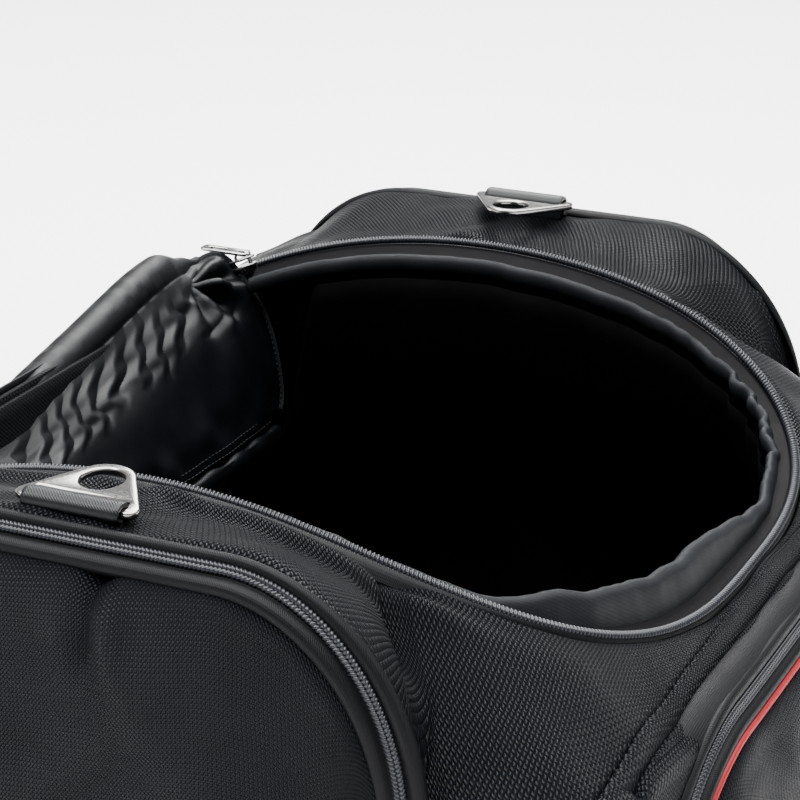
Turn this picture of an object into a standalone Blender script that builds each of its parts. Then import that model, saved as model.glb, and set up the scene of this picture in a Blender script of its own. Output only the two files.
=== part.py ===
"""Soft travel holdall with a U-shaped zip lid turned over its back, end pockets and a front pocket.

Frame: metres, +Z up.  The bag stands on its base at z = 0.  +X is the front, where the front
pocket is, and the lid is hinged along the back.  Y runs along the bag, from the left end (-Y)
to the right end (+Y).
"""
import math

import bmesh
import bpy
from mathutils import Matrix, Vector

# Driving dimensions of the bag.
HEIGHT = 0.340            # crest of the arched top above the floor
ARCH_RADIUS = 0.286       # radius of the arch that the top follows from back to front
GAP = 0.0004              # clearance between neighbouring pieces
FABRIC = 0.0025           # coated nylon with its foam backing
LINING = 0.0016

# The U-shaped opening: straight sides, then a rounded front.
RIM_HALF_WIDTH = 0.152
RIM_STRAIGHT_X = 0.047
RIM_FRONT_X = 0.177
RIM_BACK_X = -0.117
RIM_POWER = 2.925

# The outline of the body in plan.
BODY_HALF_LENGTH = 0.206
BODY_STRAIGHT_X = 0.120
BODY_FRONT_X = 0.197
BODY_BACK_X = -0.137
BODY_POWER = 4.5
BACK_CORNER_RADIUS = 0.020
SLUMP_START_X = 0.080       # from here forward the soft top edge sinks below the arch
SLUMP_LENGTH = 0.055

# Coil zips: one row is a cord of small radius, a closed zip shows two rows.
COIL_RADIUS = 0.0019
CLOSED_COIL_RADIUS = 0.0030
TAPE_WIDTH = 0.0085
TAPE_THICKNESS = 0.0012

# The lid and its fold.
RIDGE_X = -0.142
RIDGE_DROP = 0.026
RIDGE_HALF_LENGTH = 0.143
RIDGE_RADIUS = 0.0035
SEAM_X = -0.104
SEAM_DROP = 0.097
LID_OPEN_DEG = 251.5
LID_START_X = RIDGE_X + 0.0065

# End pockets.
POCKET_HALF_WIDTH = 0.127
POCKET_CORNER_X = 0.065
POCKET_CORNER_Z = 0.080
POCKET_RISE = 0.002
POCKET_BOTTOM = 0.030
POCKET_BULGE = 0.030
POCKET_FACE = BODY_HALF_LENGTH + 0.0045

# Front pocket.
FRONT_HALF_WIDTH = 0.145
FRONT_CORNER = 0.060
FRONT_DROP = 0.0775
FRONT_BOTTOM = 0.030
FRONT_BULGE = 0.030

# Webbing tabs and strap rings.
WEBBING = 0.038
RING_DEPTH = 0.030
RING_THICKNESS = 0.0030
RING_HOLE_RADIUS = 0.0080
RING_APEX_RADIUS = 0.0118
RING_SLOT = 0.0068
RING_Y = 0.1985
RING_Z = HEIGHT + 0.0095
RING_REST_DEG = 4.0
LOOP_INNER = 0.0027
LOOP_WALL = 0.0018

SIDES = (("left", -1), ("right", 1))


def clear_scene():
    for old in list(bpy.data.objects):
        bpy.data.objects.remove(old, do_unlink=True)


def material(name, colour, roughness, metallic=0.0):
    made = bpy.data.materials.new(name)
    made.use_nodes = True
    shader = made.node_tree.nodes["Principled BSDF"]
    shader.inputs["Base Color"].default_value = (*colour, 1.0)
    shader.inputs["Roughness"].default_value = roughness
    shader.inputs["Metallic"].default_value = metallic
    return made


def arch_z(x):
    """Height of the arched top at a distance x from its crest."""
    return HEIGHT - ARCH_RADIUS + math.sqrt(ARCH_RADIUS ** 2 - x ** 2)


def pocket_z(x):
    """Height of an end pocket's zip: flat in the middle, with an elliptical shoulder."""
    over = min(max(abs(x) - (POCKET_HALF_WIDTH - POCKET_CORNER_X), 0.0) / POCKET_CORNER_X, 1.0)
    return HEIGHT + POCKET_RISE - POCKET_CORNER_Z * (1.0 - math.sqrt(1.0 - over ** 2))


def edge_z(x):
    """Height of the body's top edge: towards the front it slumps to the level of the front's edge."""
    slump = min(max((x - SLUMP_START_X) / SLUMP_LENGTH, 0.0), 1.0)
    held = arch_z(x) * (1.0 - slump) + arch_z(BODY_FRONT_X) * slump
    return max(held, pocket_z(x) - 0.001)


def finish_mesh(name, builder, skin, origin=None):
    """Turn a bmesh into a named object, with its origin on the joint axis where it has one."""
    bmesh.ops.recalc_face_normals(builder, faces=builder.faces)
    mesh = bpy.data.meshes.new(name)
    if origin is not None:
        bmesh.ops.translate(builder, verts=builder.verts, vec=-Vector(origin))
    builder.to_mesh(mesh)
    builder.free()
    mesh.materials.append(skin)
    mesh.shade_smooth()
    mesh.set_sharp_from_angle(angle=math.radians(40))
    made = bpy.data.objects.new(name, mesh)
    bpy.context.scene.collection.objects.link(made)
    if origin is not None:
        made.location = origin
    return made


def grid_normals(grid):
    """Unit normals of a grid of points, from the differences along its rows and columns."""
    rows = len(grid)
    columns = len(grid[0])
    normals = []
    for i in range(rows):
        line = []
        for j in range(columns):
            down = grid[min(i + 1, rows - 1)][j] - grid[max(i - 1, 0)][j]
            along = grid[i][min(j + 1, columns - 1)] - grid[i][max(j - 1, 0)]
            line.append(down.cross(along).normalized())
        normals.append(line)
    return normals


def slab(name, grid, thickness, skin, origin=None):
    """A sheet of even thickness that stands on a grid of points, on the side away from its normal."""
    rows = len(grid)
    columns = len(grid[0])
    normals = grid_normals(grid)
    builder = bmesh.new()
    front = [[builder.verts.new(p) for p in line] for line in grid]
    back = [[builder.verts.new(grid[i][j] - normals[i][j] * thickness) for j in range(columns)]
            for i in range(rows)]
    for i in range(rows - 1):
        for j in range(columns - 1):
            builder.faces.new((front[i][j], front[i + 1][j], front[i + 1][j + 1], front[i][j + 1]))
            builder.faces.new((back[i][j], back[i][j + 1], back[i + 1][j + 1], back[i + 1][j]))
    for j in range(columns - 1):
        builder.faces.new((front[0][j], front[0][j + 1], back[0][j + 1], back[0][j]))
        builder.faces.new((front[-1][j], back[-1][j], back[-1][j + 1], front[-1][j + 1]))
    for i in range(rows - 1):
        builder.faces.new((front[i][0], back[i][0], back[i + 1][0], front[i + 1][0]))
        builder.faces.new((front[i][-1], front[i + 1][-1], back[i + 1][-1], back[i][-1]))
    return finish_mesh(name, builder, skin, origin)


def tube(name, path, radius, skin, origin=None, sides=6):
    """A round cord along a path, with closed ends."""
    builder = bmesh.new()
    rings = []
    for i, point in enumerate(path):
        heading = (path[min(i + 1, len(path) - 1)] - path[max(i - 1, 0)]).normalized()
        across = heading.cross(Vector((0.0, 0.0, 1.0)))
        if across.length < 0.2:
            across = heading.cross(Vector((1.0, 0.0, 0.0)))
        across.normalize()
        over = across.cross(heading)
        turn = [2.0 * math.pi * k / sides for k in range(sides)]
        rings.append([builder.verts.new(point + (across * math.cos(a) + over * math.sin(a)) * radius)
                      for a in turn])
    for first, second in zip(rings, rings[1:]):
        for k in range(sides):
            other = (k + 1) % sides
            builder.faces.new((first[k], first[other], second[other], second[k]))
    builder.faces.new(rings[0])
    builder.faces.new(rings[-1][::-1])
    return finish_mesh(name, builder, skin, origin)


def block(name, centre, size, chamfer, skin, turn=None, origin=None):
    """A small box with bevelled edges."""
    builder = bmesh.new()
    bmesh.ops.create_cube(builder, size=1.0)
    bmesh.ops.scale(builder, vec=Vector(size), verts=builder.verts)
    bmesh.ops.bevel(builder, geom=builder.edges[:], offset=chamfer, segments=1, affect='EDGES')
    if turn is not None:
        bmesh.ops.rotate(builder, verts=builder.verts, matrix=turn)
    bmesh.ops.translate(builder, verts=builder.verts, vec=Vector(centre))
    return finish_mesh(name, builder, skin, origin)


def prism(name, outline, low, high, skin):
    """A flat plate between two heights over a closed outline of (x, y) points."""
    builder = bmesh.new()
    bottom = [builder.verts.new((x, y, low)) for x, y in outline]
    top = [builder.verts.new((x, y, high)) for x, y in outline]
    builder.faces.new(bottom[::-1])
    builder.faces.new(top)
    for k in range(len(outline)):
        other = (k + 1) % len(outline)
        builder.faces.new((bottom[k], bottom[other], top[other], top[k]))
    return finish_mesh(name, builder, skin)


def arc_resample(points, start, end, count):
    """Evenly spaced points along a polyline, between two distances from its beginning."""
    lengths = [0.0]
    for a, b in zip(points, points[1:]):
        lengths.append(lengths[-1] + (b - a).length)
    found = []
    for k in range(count + 1):
        target = start + (end - start) * k / count
        i = 0
        while i < len(points) - 2 and lengths[i + 1] < target:
            i += 1
        share = (target - lengths[i]) / (lengths[i + 1] - lengths[i])
        found.append(points[i].lerp(points[i + 1], share))
    return found


def polyline_length(points):
    return sum((b - a).length for a, b in zip(points, points[1:]))


def corner(straight_x, front_x, half_width, power, steps):
    """Rounded front corner of the right half, from the front's middle to the straight side."""
    points = []
    for k in range(steps + 1):
        angle = 0.5 * math.pi * k / steps
        x = straight_x + (front_x - straight_x) * max(math.cos(angle), 0.0) ** (2.0 / power)
        points.append(Vector((x, half_width * math.sin(angle) ** (2.0 / power))))
    return points


def inset_path(points, inset):
    """A plan path moved sideways: towards the bag's middle for a positive inset."""
    moved = []
    for i, point in enumerate(points):
        heading = (points[min(i + 1, len(points) - 1)] - points[max(i - 1, 0)]).normalized()
        moved.append(point + Vector((-heading.y, heading.x)) * inset)
    moved[0].y = 0.0
    return moved


def rim_half(inset, back_x):
    """Right half of the opening's rim in plan, from the front's middle to the back."""
    points = corner(RIM_STRAIGHT_X, RIM_FRONT_X, RIM_HALF_WIDTH, RIM_POWER, 40)
    points.append(Vector((back_x, RIM_HALF_WIDTH)))
    return inset_path(points, inset)


def body_half(inset=0.0):
    """Right half of the body's outline, from the front's middle to the back's middle."""
    points = corner(BODY_STRAIGHT_X, BODY_FRONT_X, BODY_HALF_LENGTH, BODY_POWER, 40)
    centre = Vector((BODY_BACK_X + BACK_CORNER_RADIUS, BODY_HALF_LENGTH - BACK_CORNER_RADIUS))
    for k in range(7):
        angle = 0.5 * math.pi * (1.0 + k / 6.0)
        points.append(centre + Vector((math.cos(angle), math.sin(angle))) * BACK_CORNER_RADIUS)
    points.append(Vector((BODY_BACK_X, 0.0)))
    moved = inset_path(points, inset)
    moved[-1].y = 0.0
    return moved


def mirrored(half):
    """The whole path, left side first, from its right half that starts at the front's middle."""
    left = [Vector((p.x, -p.y)) for p in reversed(half)]
    return left + half[1:]


def body_outline(inset, count):
    """Closed plan outline of the body with evenly spaced points."""
    half = body_half(inset)
    right = arc_resample(half, 0.0, polyline_length(half), count)
    left = [Vector((p.x, -p.y)) for p in reversed(right[1:-1])]
    return [(p.x, p.y) for p in right + left]


# Base -------------------------------------------------------------------------------------------

BASE_TOP = 0.0030
WALL_LOW = BASE_TOP + GAP
BOARD_INSET = 0.0060
BOARD_TOP = WALL_LOW + 0.0030
WALL_TOP_GAP = FABRIC + 0.0030
SEAM_GAP = 0.0010           # half the width of the seam line between two wall panels
SEAM_FRONT_SHARE = 0.210      # the front panel's share of the half outline
SEAM_BACK_SHARE = 0.736       # where the back panel's seam lies on the half outline


def make_base(skins):
    prism("base_panel", body_outline(0.0, 30), 0.0, BASE_TOP, skins["ballistic"])
    prism("base_board", body_outline(BOARD_INSET, 30), WALL_LOW, BOARD_TOP, skins["board"])


def wall(name, plan, top, skin):
    """A standing panel over a plan path, up to a height that varies along it."""
    rows = 6
    grid = []
    for i in range(rows + 1):
        grid.append([Vector((p.x, p.y, WALL_LOW + (top(p) - WALL_LOW) * i / rows)) for p in plan])
    slab(name, grid, FABRIC, skin)


def make_walls(skins):
    half = body_half()
    length = polyline_length(half)
    front = length * SEAM_FRONT_SHARE
    back = length * SEAM_BACK_SHARE

    def under_top(point):
        slumped = min(max((point.x - SLUMP_START_X + 0.020) / 0.020, 0.0), 1.0)
        return edge_z(point.x) - WALL_TOP_GAP - 0.006 * slumped

    def back_top(point):
        return HEIGHT - RIDGE_DROP - 0.024

    half_front = arc_resample(half, 0.0, front - SEAM_GAP, 5)
    plan = [Vector((p.x, -p.y)) for p in reversed(half_front)] + half_front[1:]
    wall("front_panel", plan[::-1], under_top, skins["ballistic"])
    for side, sign in SIDES:
        plan = arc_resample(half, front + SEAM_GAP, back - SEAM_GAP, 14)
        plan = [Vector((p.x, p.y * sign)) for p in plan]
        if sign > 0:
            plan.reverse()
        wall(side + "_end_panel", plan, under_top, skins["ballistic"])
    half_back = arc_resample(half, back + SEAM_GAP, length, 5)
    plan = half_back + [Vector((p.x, -p.y)) for p in reversed(half_back[:-1])]
    wall("back_panel", plan[::-1], back_top, skins["ballistic"])


def make_top(skins):
    """The strips of the arched top, between the opening's rim and the body's edge."""
    columns = 20
    inner = rim_half(-(COIL_RADIUS + 2 * GAP), BODY_BACK_X + 0.002)
    outer = body_half()
    outer_length = polyline_length(outer)
    inner_points = arc_resample(inner, 0.0, polyline_length(inner), columns)
    outer_points = arc_resample(outer, 0.0, outer_length * SEAM_BACK_SHARE, columns)
    split = 6

    def strip(first, last, shift_first, shift_last):
        grid = []
        for row in range(4):
            share = row / 3.0
            line = []
            for k in range(first, last + 1):
                a = inner_points[k]
                b = outer_points[k]
                flat = a.lerp(b, share)
                top = arch_z(a.x) * (1.0 - share) + edge_z(b.x) * share
                line.append(Vector((flat.x, flat.y, top)))
            if shift_first:
                line[0] = line[0].lerp(line[1], 0.03)
            if shift_last:
                line[-1] = line[-1].lerp(line[-2], 0.03)
            grid.append(line)
        return grid

    right_front = strip(0, split, False, True)
    whole = [[Vector((p.x, -p.y, p.z)) for p in reversed(line)] + line[1:] for line in right_front]
    slab("front_top_strip", [line[::-1] for line in whole[::-1]], FABRIC, skins["ballistic"])
    side_grid = strip(split, columns, True, False)
    slab("right_top_strip", [line[::-1] for line in side_grid[::-1]], FABRIC, skins["ballistic"])
    flipped = [[Vector((p.x, -p.y, p.z)) for p in line] for line in side_grid]
    slab("left_top_strip", flipped[::-1], FABRIC, skins["ballistic"])


# Lining -----------------------------------------------------------------------------------------

LINING_FLOOR_TOP = BOARD_TOP + GAP + LINING
# Share of the way from the body's outline to the rim, and share of the height, of each row.
LINING_LEVELS = ((0.0, 0.0), (0.0, 0.25), (0.0, 0.55), (0.35, 0.78), (0.80, 0.93), (1.0, 1.0))
# Each wall's first and last point on the ring, which starts at the front's middle.
LINING_PANELS = (("front_lining", -5, 5), ("right_lining", 5, 19), ("back_lining", 19, 29),
                 ("left_lining", 29, 43))
LINING_SEAM_SHARE = 0.06


def make_lining(skins):
    """The loose inner bag: a floor, and walls that follow the body up to a hem under the zip tape."""
    count = 24
    body = body_half(0.0075)
    body_points = arc_resample(body, 0.0, polyline_length(body), count)
    rim = rim_half(0.0125, RIM_BACK_X + 0.006)
    rim = rim + [Vector((SEAM_X + 0.003, 0.150)), Vector((SEAM_X + 0.003, 0.0))]
    rim_points = arc_resample(rim, 0.0, polyline_length(rim), count)
    seam_z = HEIGHT - SEAM_DROP - 0.004
    wall_foot = LINING_FLOOR_TOP + GAP

    def top_height(point):
        slack = min(max((point.x - SEAM_X - 0.004) / 0.020, 0.0), 1.0)
        return seam_z * (1.0 - slack) + (arch_z(point.x) - 0.0095) * slack

    def ring(share, height):
        line = []
        for a, b in zip(body_points, rim_points):
            flat = a.lerp(b, share)
            line.append(Vector((flat.x, flat.y, wall_foot + (top_height(b) - wall_foot) * height)))
        left = [Vector((p.x, -p.y, p.z)) for p in reversed(line[1:-1])]
        return line + left

    floor_outline = [(p.x, p.y) for p in ring(0.0, 0.0)]
    prism("lining_floor", floor_outline, BOARD_TOP + GAP, LINING_FLOOR_TOP, skins["satin"])
    rings = [ring(share, height) for share, height in LINING_LEVELS]
    total = len(rings[0])
    for name, first, last in LINING_PANELS:
        grid = []
        for line in rings:
            panel = [line[k % total].copy() for k in range(first, last + 1)]
            panel[0] = panel[0].lerp(panel[1], LINING_SEAM_SHARE)
            panel[-1] = panel[-1].lerp(panel[-2], LINING_SEAM_SHARE)
            grid.append(panel[::-1])
        slab(name, grid, LINING, skins["satin"])


# Main zip and lid -------------------------------------------------------------------------------

def rim_path(inset, back_x, lift, count=44):
    """The whole U of the rim as 3-D points, from the left back end round to the right one."""
    half = rim_half(inset, back_x)
    even = arc_resample(half, 0.0, polyline_length(half), count // 2)
    return [Vector((p.x, p.y, arch_z(p.x) + lift)) for p in mirrored(even)]


def make_main_zip(skins):
    tube("main_zip_coil", rim_path(0.0, RIM_BACK_X, 0.0), COIL_RADIUS, skins["coil"])
    back_x = RIM_BACK_X + 0.002
    lines = []
    for share in (0.0, 0.5, 1.0):
        inset = COIL_RADIUS + GAP * 2 + share * 0.0058
        lines.append(rim_path(inset, back_x, -0.0008 - share * 0.0078))
    slab("main_zip_tape", lines[::-1], TAPE_THICKNESS, skins["tape"])
    for side, sign in SIDES:
        x = RIM_BACK_X - 0.0072
        y = RIM_HALF_WIDTH * sign
        z = arch_z(x) + 0.0040
        tilt = Matrix.Rotation(-math.atan2(-x, ARCH_RADIUS), 3, 'Y')
        block(side + "_main_slider", (x, y, z), (0.0125, 0.0086, 0.0050), 0.0010, skins["nickel"], tilt)
        hinge = Vector((x, y, z + 0.0048))
        reach = Vector((-0.0125, 0.0, 0.0))
        block(side + "_main_pull", hinge + reach, (0.0230, 0.0070, 0.0016), 0.0005, skins["nickel"],
              None, hinge)


def lid_z(x):
    """Closed lid's height: the arch, but straight from the fold to where the arch rises past it."""
    join_x = -0.090
    if x > join_x:
        return arch_z(x)
    share = (join_x - x) / (join_x - RIDGE_X)
    return arch_z(join_x) * (1.0 - share) + (HEIGHT - RIDGE_DROP) * share


def opened(point):
    """Turn a point of the closed lid about the fold to where the open lid hangs."""
    pivot = Vector((RIDGE_X, 0.0, HEIGHT - RIDGE_DROP))
    turn = Matrix.Rotation(-math.radians(LID_OPEN_DEG), 3, 'Y')
    return pivot + turn @ (point - pivot)


def lid_section(inset, lift, count):
    """The lid's U at an inset from the rim, with its ends pulled in beside the sliders."""
    half = rim_half(inset, LID_START_X)
    points = []
    for p in arc_resample(half, 0.0, polyline_length(half), count):
        tuck = min(max((-0.098 - p.x) / 0.014, 0.0), 1.0)
        limit = RIM_HALF_WIDTH - inset - tuck * max(0.0092 - inset, 0.0) - tuck * 0.0022
        points.append(Vector((p.x, min(p.y, limit))))
    return [opened(Vector((p.x, p.y, lid_z(p.x) + lift))) for p in mirrored(points)]


def lid_sheet(name, inset, lift, thickness, skin):
    """A sheet over the whole lid inside an inset from the rim."""
    columns = 22
    half = rim_half(inset, LID_START_X)
    xs = [LID_START_X + (half[0].x - 0.0001 - LID_START_X) * (1.0 - (1.0 - k / columns) ** 1.6)
          for k in range(columns + 1)]
    across = (-1.0, -0.75, -0.4, 0.0, 0.4, 0.75, 1.0)
    grid = []
    for share in across:
        line = []
        for x in xs:
            width = 0.0
            for a, b in zip(half, half[1:]):
                if b.x <= x <= a.x:
                    width = a.y + (b.y - a.y) * (a.x - x) / max(a.x - b.x, 1e-9)
            tuck = min(max((-0.098 - x) / 0.014, 0.0), 1.0) * 0.0022
            width = max(width - tuck, 0.006)
            line.append(opened(Vector((x, width * share, lid_z(x) + lift))))
        grid.append(line)
    slab(name, grid[::-1], thickness, skin, lid_pivot())


def lid_pivot():
    return (RIDGE_X, 0.0, HEIGHT - RIDGE_DROP)


def make_lid(skins):
    inner = COIL_RADIUS * 2 + GAP * 2
    coil = lid_section(inner, 0.0, 26)
    tube("lid_zip_coil", coil[5:-5], COIL_RADIUS, skins["coil"], lid_pivot())
    lines = []
    for share in (0.0, 1.0):
        inset = inner + COIL_RADIUS + GAP + share * TAPE_WIDTH
        lines.append(lid_section(inset, TAPE_THICKNESS * 0.5, 22))
    slab("lid_zip_tape", lines, TAPE_THICKNESS, skins["tape"], lid_pivot())
    panel_inset = inner + COIL_RADIUS + GAP * 2 + TAPE_WIDTH + 0.0002
    lid_sheet("lid_panel", panel_inset, 0.0016, FABRIC, skins["ballistic"])
    lid_sheet("lid_lining", panel_inset + 0.0040, 0.0016 - FABRIC - 0.0014, LINING, skins["satin"])
    binding = lid_section(panel_inset - 0.0035, -0.0026, 22)
    tube("lid_seam_binding", binding, 0.0016, skins["satin"], lid_pivot())


def make_fold(skins):
    """What stays on the body at the back: the fold that the lid turns over, and its lining."""
    ridge_z = HEIGHT - RIDGE_DROP
    path = [Vector((RIDGE_X, RIDGE_HALF_LENGTH * k / 4.0, ridge_z)) for k in range(-4, 5)]
    tube("lid_fold_roll", path, RIDGE_RADIUS, skins["satin"])
    low = Vector((SEAM_X, 0.0, HEIGHT - SEAM_DROP))
    high = Vector((RIDGE_X + 0.0035, 0.0, ridge_z - 0.0060))
    grid = []
    for k in range(5):
        p = low.lerp(high, k / 4.0)
        bow = 0.004 * math.sin(math.pi * k / 4.0)
        grid.append([Vector((p.x + bow, y, p.z)) for y in (-0.140, -0.07, 0.0, 0.07, 0.140)])
    slab("back_fold_lining", grid[::-1], LINING, skins["satin"])
    seam = []
    for k in range(3):
        p = low.lerp(high, 0.03 + 0.07 * k)
        seam.append([Vector((p.x + 0.0022, y, p.z)) for y in (-0.139, 0.0, 0.139)])
    slab("hinge_seam_tape", seam, 0.0010, skins["tape"])


# Pockets ----------------------------------------------------------------------------------------

def pocket_zip_path(offset, steps=10):
    """Arched zip of an end pocket as (x, z) points, from its back foot to its front foot."""
    half = []
    flat = POCKET_HALF_WIDTH - POCKET_CORNER_X
    for k in range(steps + 1):
        angle = 0.5 * math.pi * k / steps
        x = flat + (POCKET_CORNER_X - offset) * math.sin(angle)
        z = HEIGHT + POCKET_RISE - offset - (POCKET_CORNER_Z - offset) * (1.0 - math.cos(angle))
        half.append((x, z))
    half.append((POCKET_HALF_WIDTH - offset, 0.150))
    half.append((POCKET_HALF_WIDTH - offset, POCKET_BOTTOM + 0.020))
    return [(-x, z) for x, z in reversed(half)] + half


def pocket_depth(u, v, bulge):
    """How far a stuffed pocket stands out, from 0 at its edges to the full bulge in the middle."""
    return bulge * (1.0 - abs(u) ** 3.5) ** 0.75 * math.sin(math.pi * min(v, 1.0)) ** 0.55


def pocket_panel(name, half_width, top, bottom, bulge, place, skin):
    """The outer panel of a pocket: a shallow bowl with its open side against the body."""
    columns = 16
    rows = 9
    grid = []
    for i in range(rows + 1):
        v = 0.5 * (1.0 - math.cos(math.pi * i / rows))
        line = []
        for j in range(columns + 1):
            u = math.sin(0.5 * math.pi * (2.0 * j / columns - 1.0))
            across = u * half_width
            high = bottom + (top(across) - bottom) * v
            line.append(place(across, pocket_depth(u, v, bulge), high))
        grid.append(line)
    slab(name, grid, FABRIC, skin)


def make_end_pockets(skins):
    for side, sign in SIDES:
        face = POCKET_FACE * sign

        def place(across, depth, high, face=face, sign=sign):
            return Vector((across * sign * -1.0, face + sign * (depth + FABRIC), high))

        def top(across):
            return min(pocket_z(across / (POCKET_HALF_WIDTH - 0.009) * POCKET_HALF_WIDTH) - 0.009,
                       HEIGHT)

        pocket_panel(side + "_pocket_panel", POCKET_HALF_WIDTH - 0.009, top, POCKET_BOTTOM,
                     POCKET_BULGE, place, skins["twill"])
        y_coil = (BODY_HALF_LENGTH + 0.0014 + TAPE_THICKNESS + CLOSED_COIL_RADIUS * 0.62) * sign
        coil = [Vector((x, y_coil, z)) for x, z in pocket_zip_path(0.0)]
        tube(side + "_pocket_zip_coil", coil, CLOSED_COIL_RADIUS * 0.55, skins["coil"])
        y_tape = (BODY_HALF_LENGTH + 0.0010 + TAPE_THICKNESS) * sign
        lines = []
        for offset in (-0.0065, 0.0, 0.0065):
            lines.append([Vector((x, y_tape, z)) for x, z in pocket_zip_path(offset)])
        if sign > 0:
            lines.reverse()
        slab(side + "_pocket_zip_tape", lines, TAPE_THICKNESS, skins["tape"])
        x = -POCKET_HALF_WIDTH
        y_slider = y_coil + (CLOSED_COIL_RADIUS * 0.55 + 0.0022) * sign
        z = POCKET_BOTTOM + 0.032
        slider = Vector((x, y_slider, z))
        block(side + "_pocket_slider", slider, (0.0086, 0.0032, 0.0125), 0.0008, skins["nickel"],
              None, slider)
        hinge = Vector((x, y_slider + 0.0030 * sign, z))
        block(side + "_pocket_pull", hinge - Vector((0.0, 0.0, 0.0125)), (0.0070, 0.0016, 0.0230),
              0.0005, skins["nickel"], None, hinge)


def front_zip_path(offset, steps=8):
    """Arched zip of the front pocket as (y, z) points."""
    half = []
    for k in range(steps + 1):
        angle = 0.5 * math.pi * k / steps
        y = FRONT_HALF_WIDTH - FRONT_CORNER + (FRONT_CORNER - offset) * math.sin(angle)
        z = HEIGHT - FRONT_DROP - offset - (FRONT_CORNER - offset) * (1.0 - math.cos(angle))
        half.append((y, z))
    half.append((FRONT_HALF_WIDTH - offset, FRONT_BOTTOM + 0.020))
    return [(-y, z) for y, z in reversed(half)] + half


def front_wall_x(y):
    """The body's front face in plan at a distance y from its middle."""
    ratio = min(abs(y) / BODY_HALF_LENGTH, 1.0)
    share = (1.0 - ratio ** BODY_POWER) ** (1.0 / BODY_POWER)
    return BODY_STRAIGHT_X + (BODY_FRONT_X - BODY_STRAIGHT_X) * share


def make_front_pocket(skins):
    def place(across, depth, high):
        return Vector((front_wall_x(across) + 0.0050 + depth + FABRIC, across, high))

    def top(across):
        over = min(max(abs(across) - (FRONT_HALF_WIDTH - FRONT_CORNER), 0.0)
                   / (FRONT_CORNER - 0.0115), 1.0)
        return HEIGHT - FRONT_DROP - 0.0115 - FRONT_CORNER * (1.0 - math.sqrt(1.0 - over ** 2))

    pocket_panel("front_pocket_panel", FRONT_HALF_WIDTH - 0.0115, top, FRONT_BOTTOM, FRONT_BULGE,
                 place, skins["twill"])

    def on_wall(points, proud):
        return [Vector((front_wall_x(y) + proud, y, z)) for y, z in points]

    tube("front_pocket_zip_coil", on_wall(front_zip_path(0.0), 0.0012 + TAPE_THICKNESS + 0.0030),
         CLOSED_COIL_RADIUS * 0.55, skins["coil"])
    lines = [on_wall(front_zip_path(offset), 0.0010 + TAPE_THICKNESS) for offset in (-0.0055, 0.0, 0.0055)]
    slab("front_pocket_zip_tape", lines[::-1], TAPE_THICKNESS, skins["tape"])
    tube("front_pocket_piping", on_wall(front_zip_path(0.0083), 0.0040), 0.0016, skins["piping"])
    y = 0.048
    z = HEIGHT - FRONT_DROP
    slider = Vector((front_wall_x(0.0) + 0.0086, y, z))
    block("front_pocket_slider", slider, (0.0030, 0.0125, 0.0086), 0.0008, skins["nickel"], None, slider)
    hinge = slider + Vector((0.0030, 0.0, 0.0))
    tilt = Matrix.Rotation(math.radians(22), 3, 'Y')
    block("front_pocket_pull", hinge + tilt @ Vector((0.0125, 0.0, 0.0)), (0.0230, 0.0070, 0.0016),
          0.0005, skins["nickel"], tilt, hinge)


# Strap rings ------------------------------------------------------------------------------------

def ring_outline():
    """Rounded triangle of the strap ring: x along its bar, y from the bar's axis to the apex."""
    arcs = (((-0.0203, 0.0018, 0.0036), (145.0, 270.0)),
            ((0.0203, 0.0018, 0.0036), (270.0, 395.0)),
            ((0.0, RING_DEPTH - RING_APEX_RADIUS, RING_APEX_RADIUS), (35.0, 145.0)))
    points = []
    for (x, y, radius), (first, last) in arcs:
        for k in range(7):
            angle = math.radians(first + (last - first) * k / 6.0)
            points.append((x + radius * math.cos(angle), y + radius * math.sin(angle)))
    return points


def add_spline(curve, points):
    spline = curve.splines.new('POLY')
    spline.points.add(len(points) - 1)
    for point, (x, y) in zip(spline.points, points):
        point.co = (x, y, 0.0, 1.0)
    spline.use_cyclic_u = True


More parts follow.
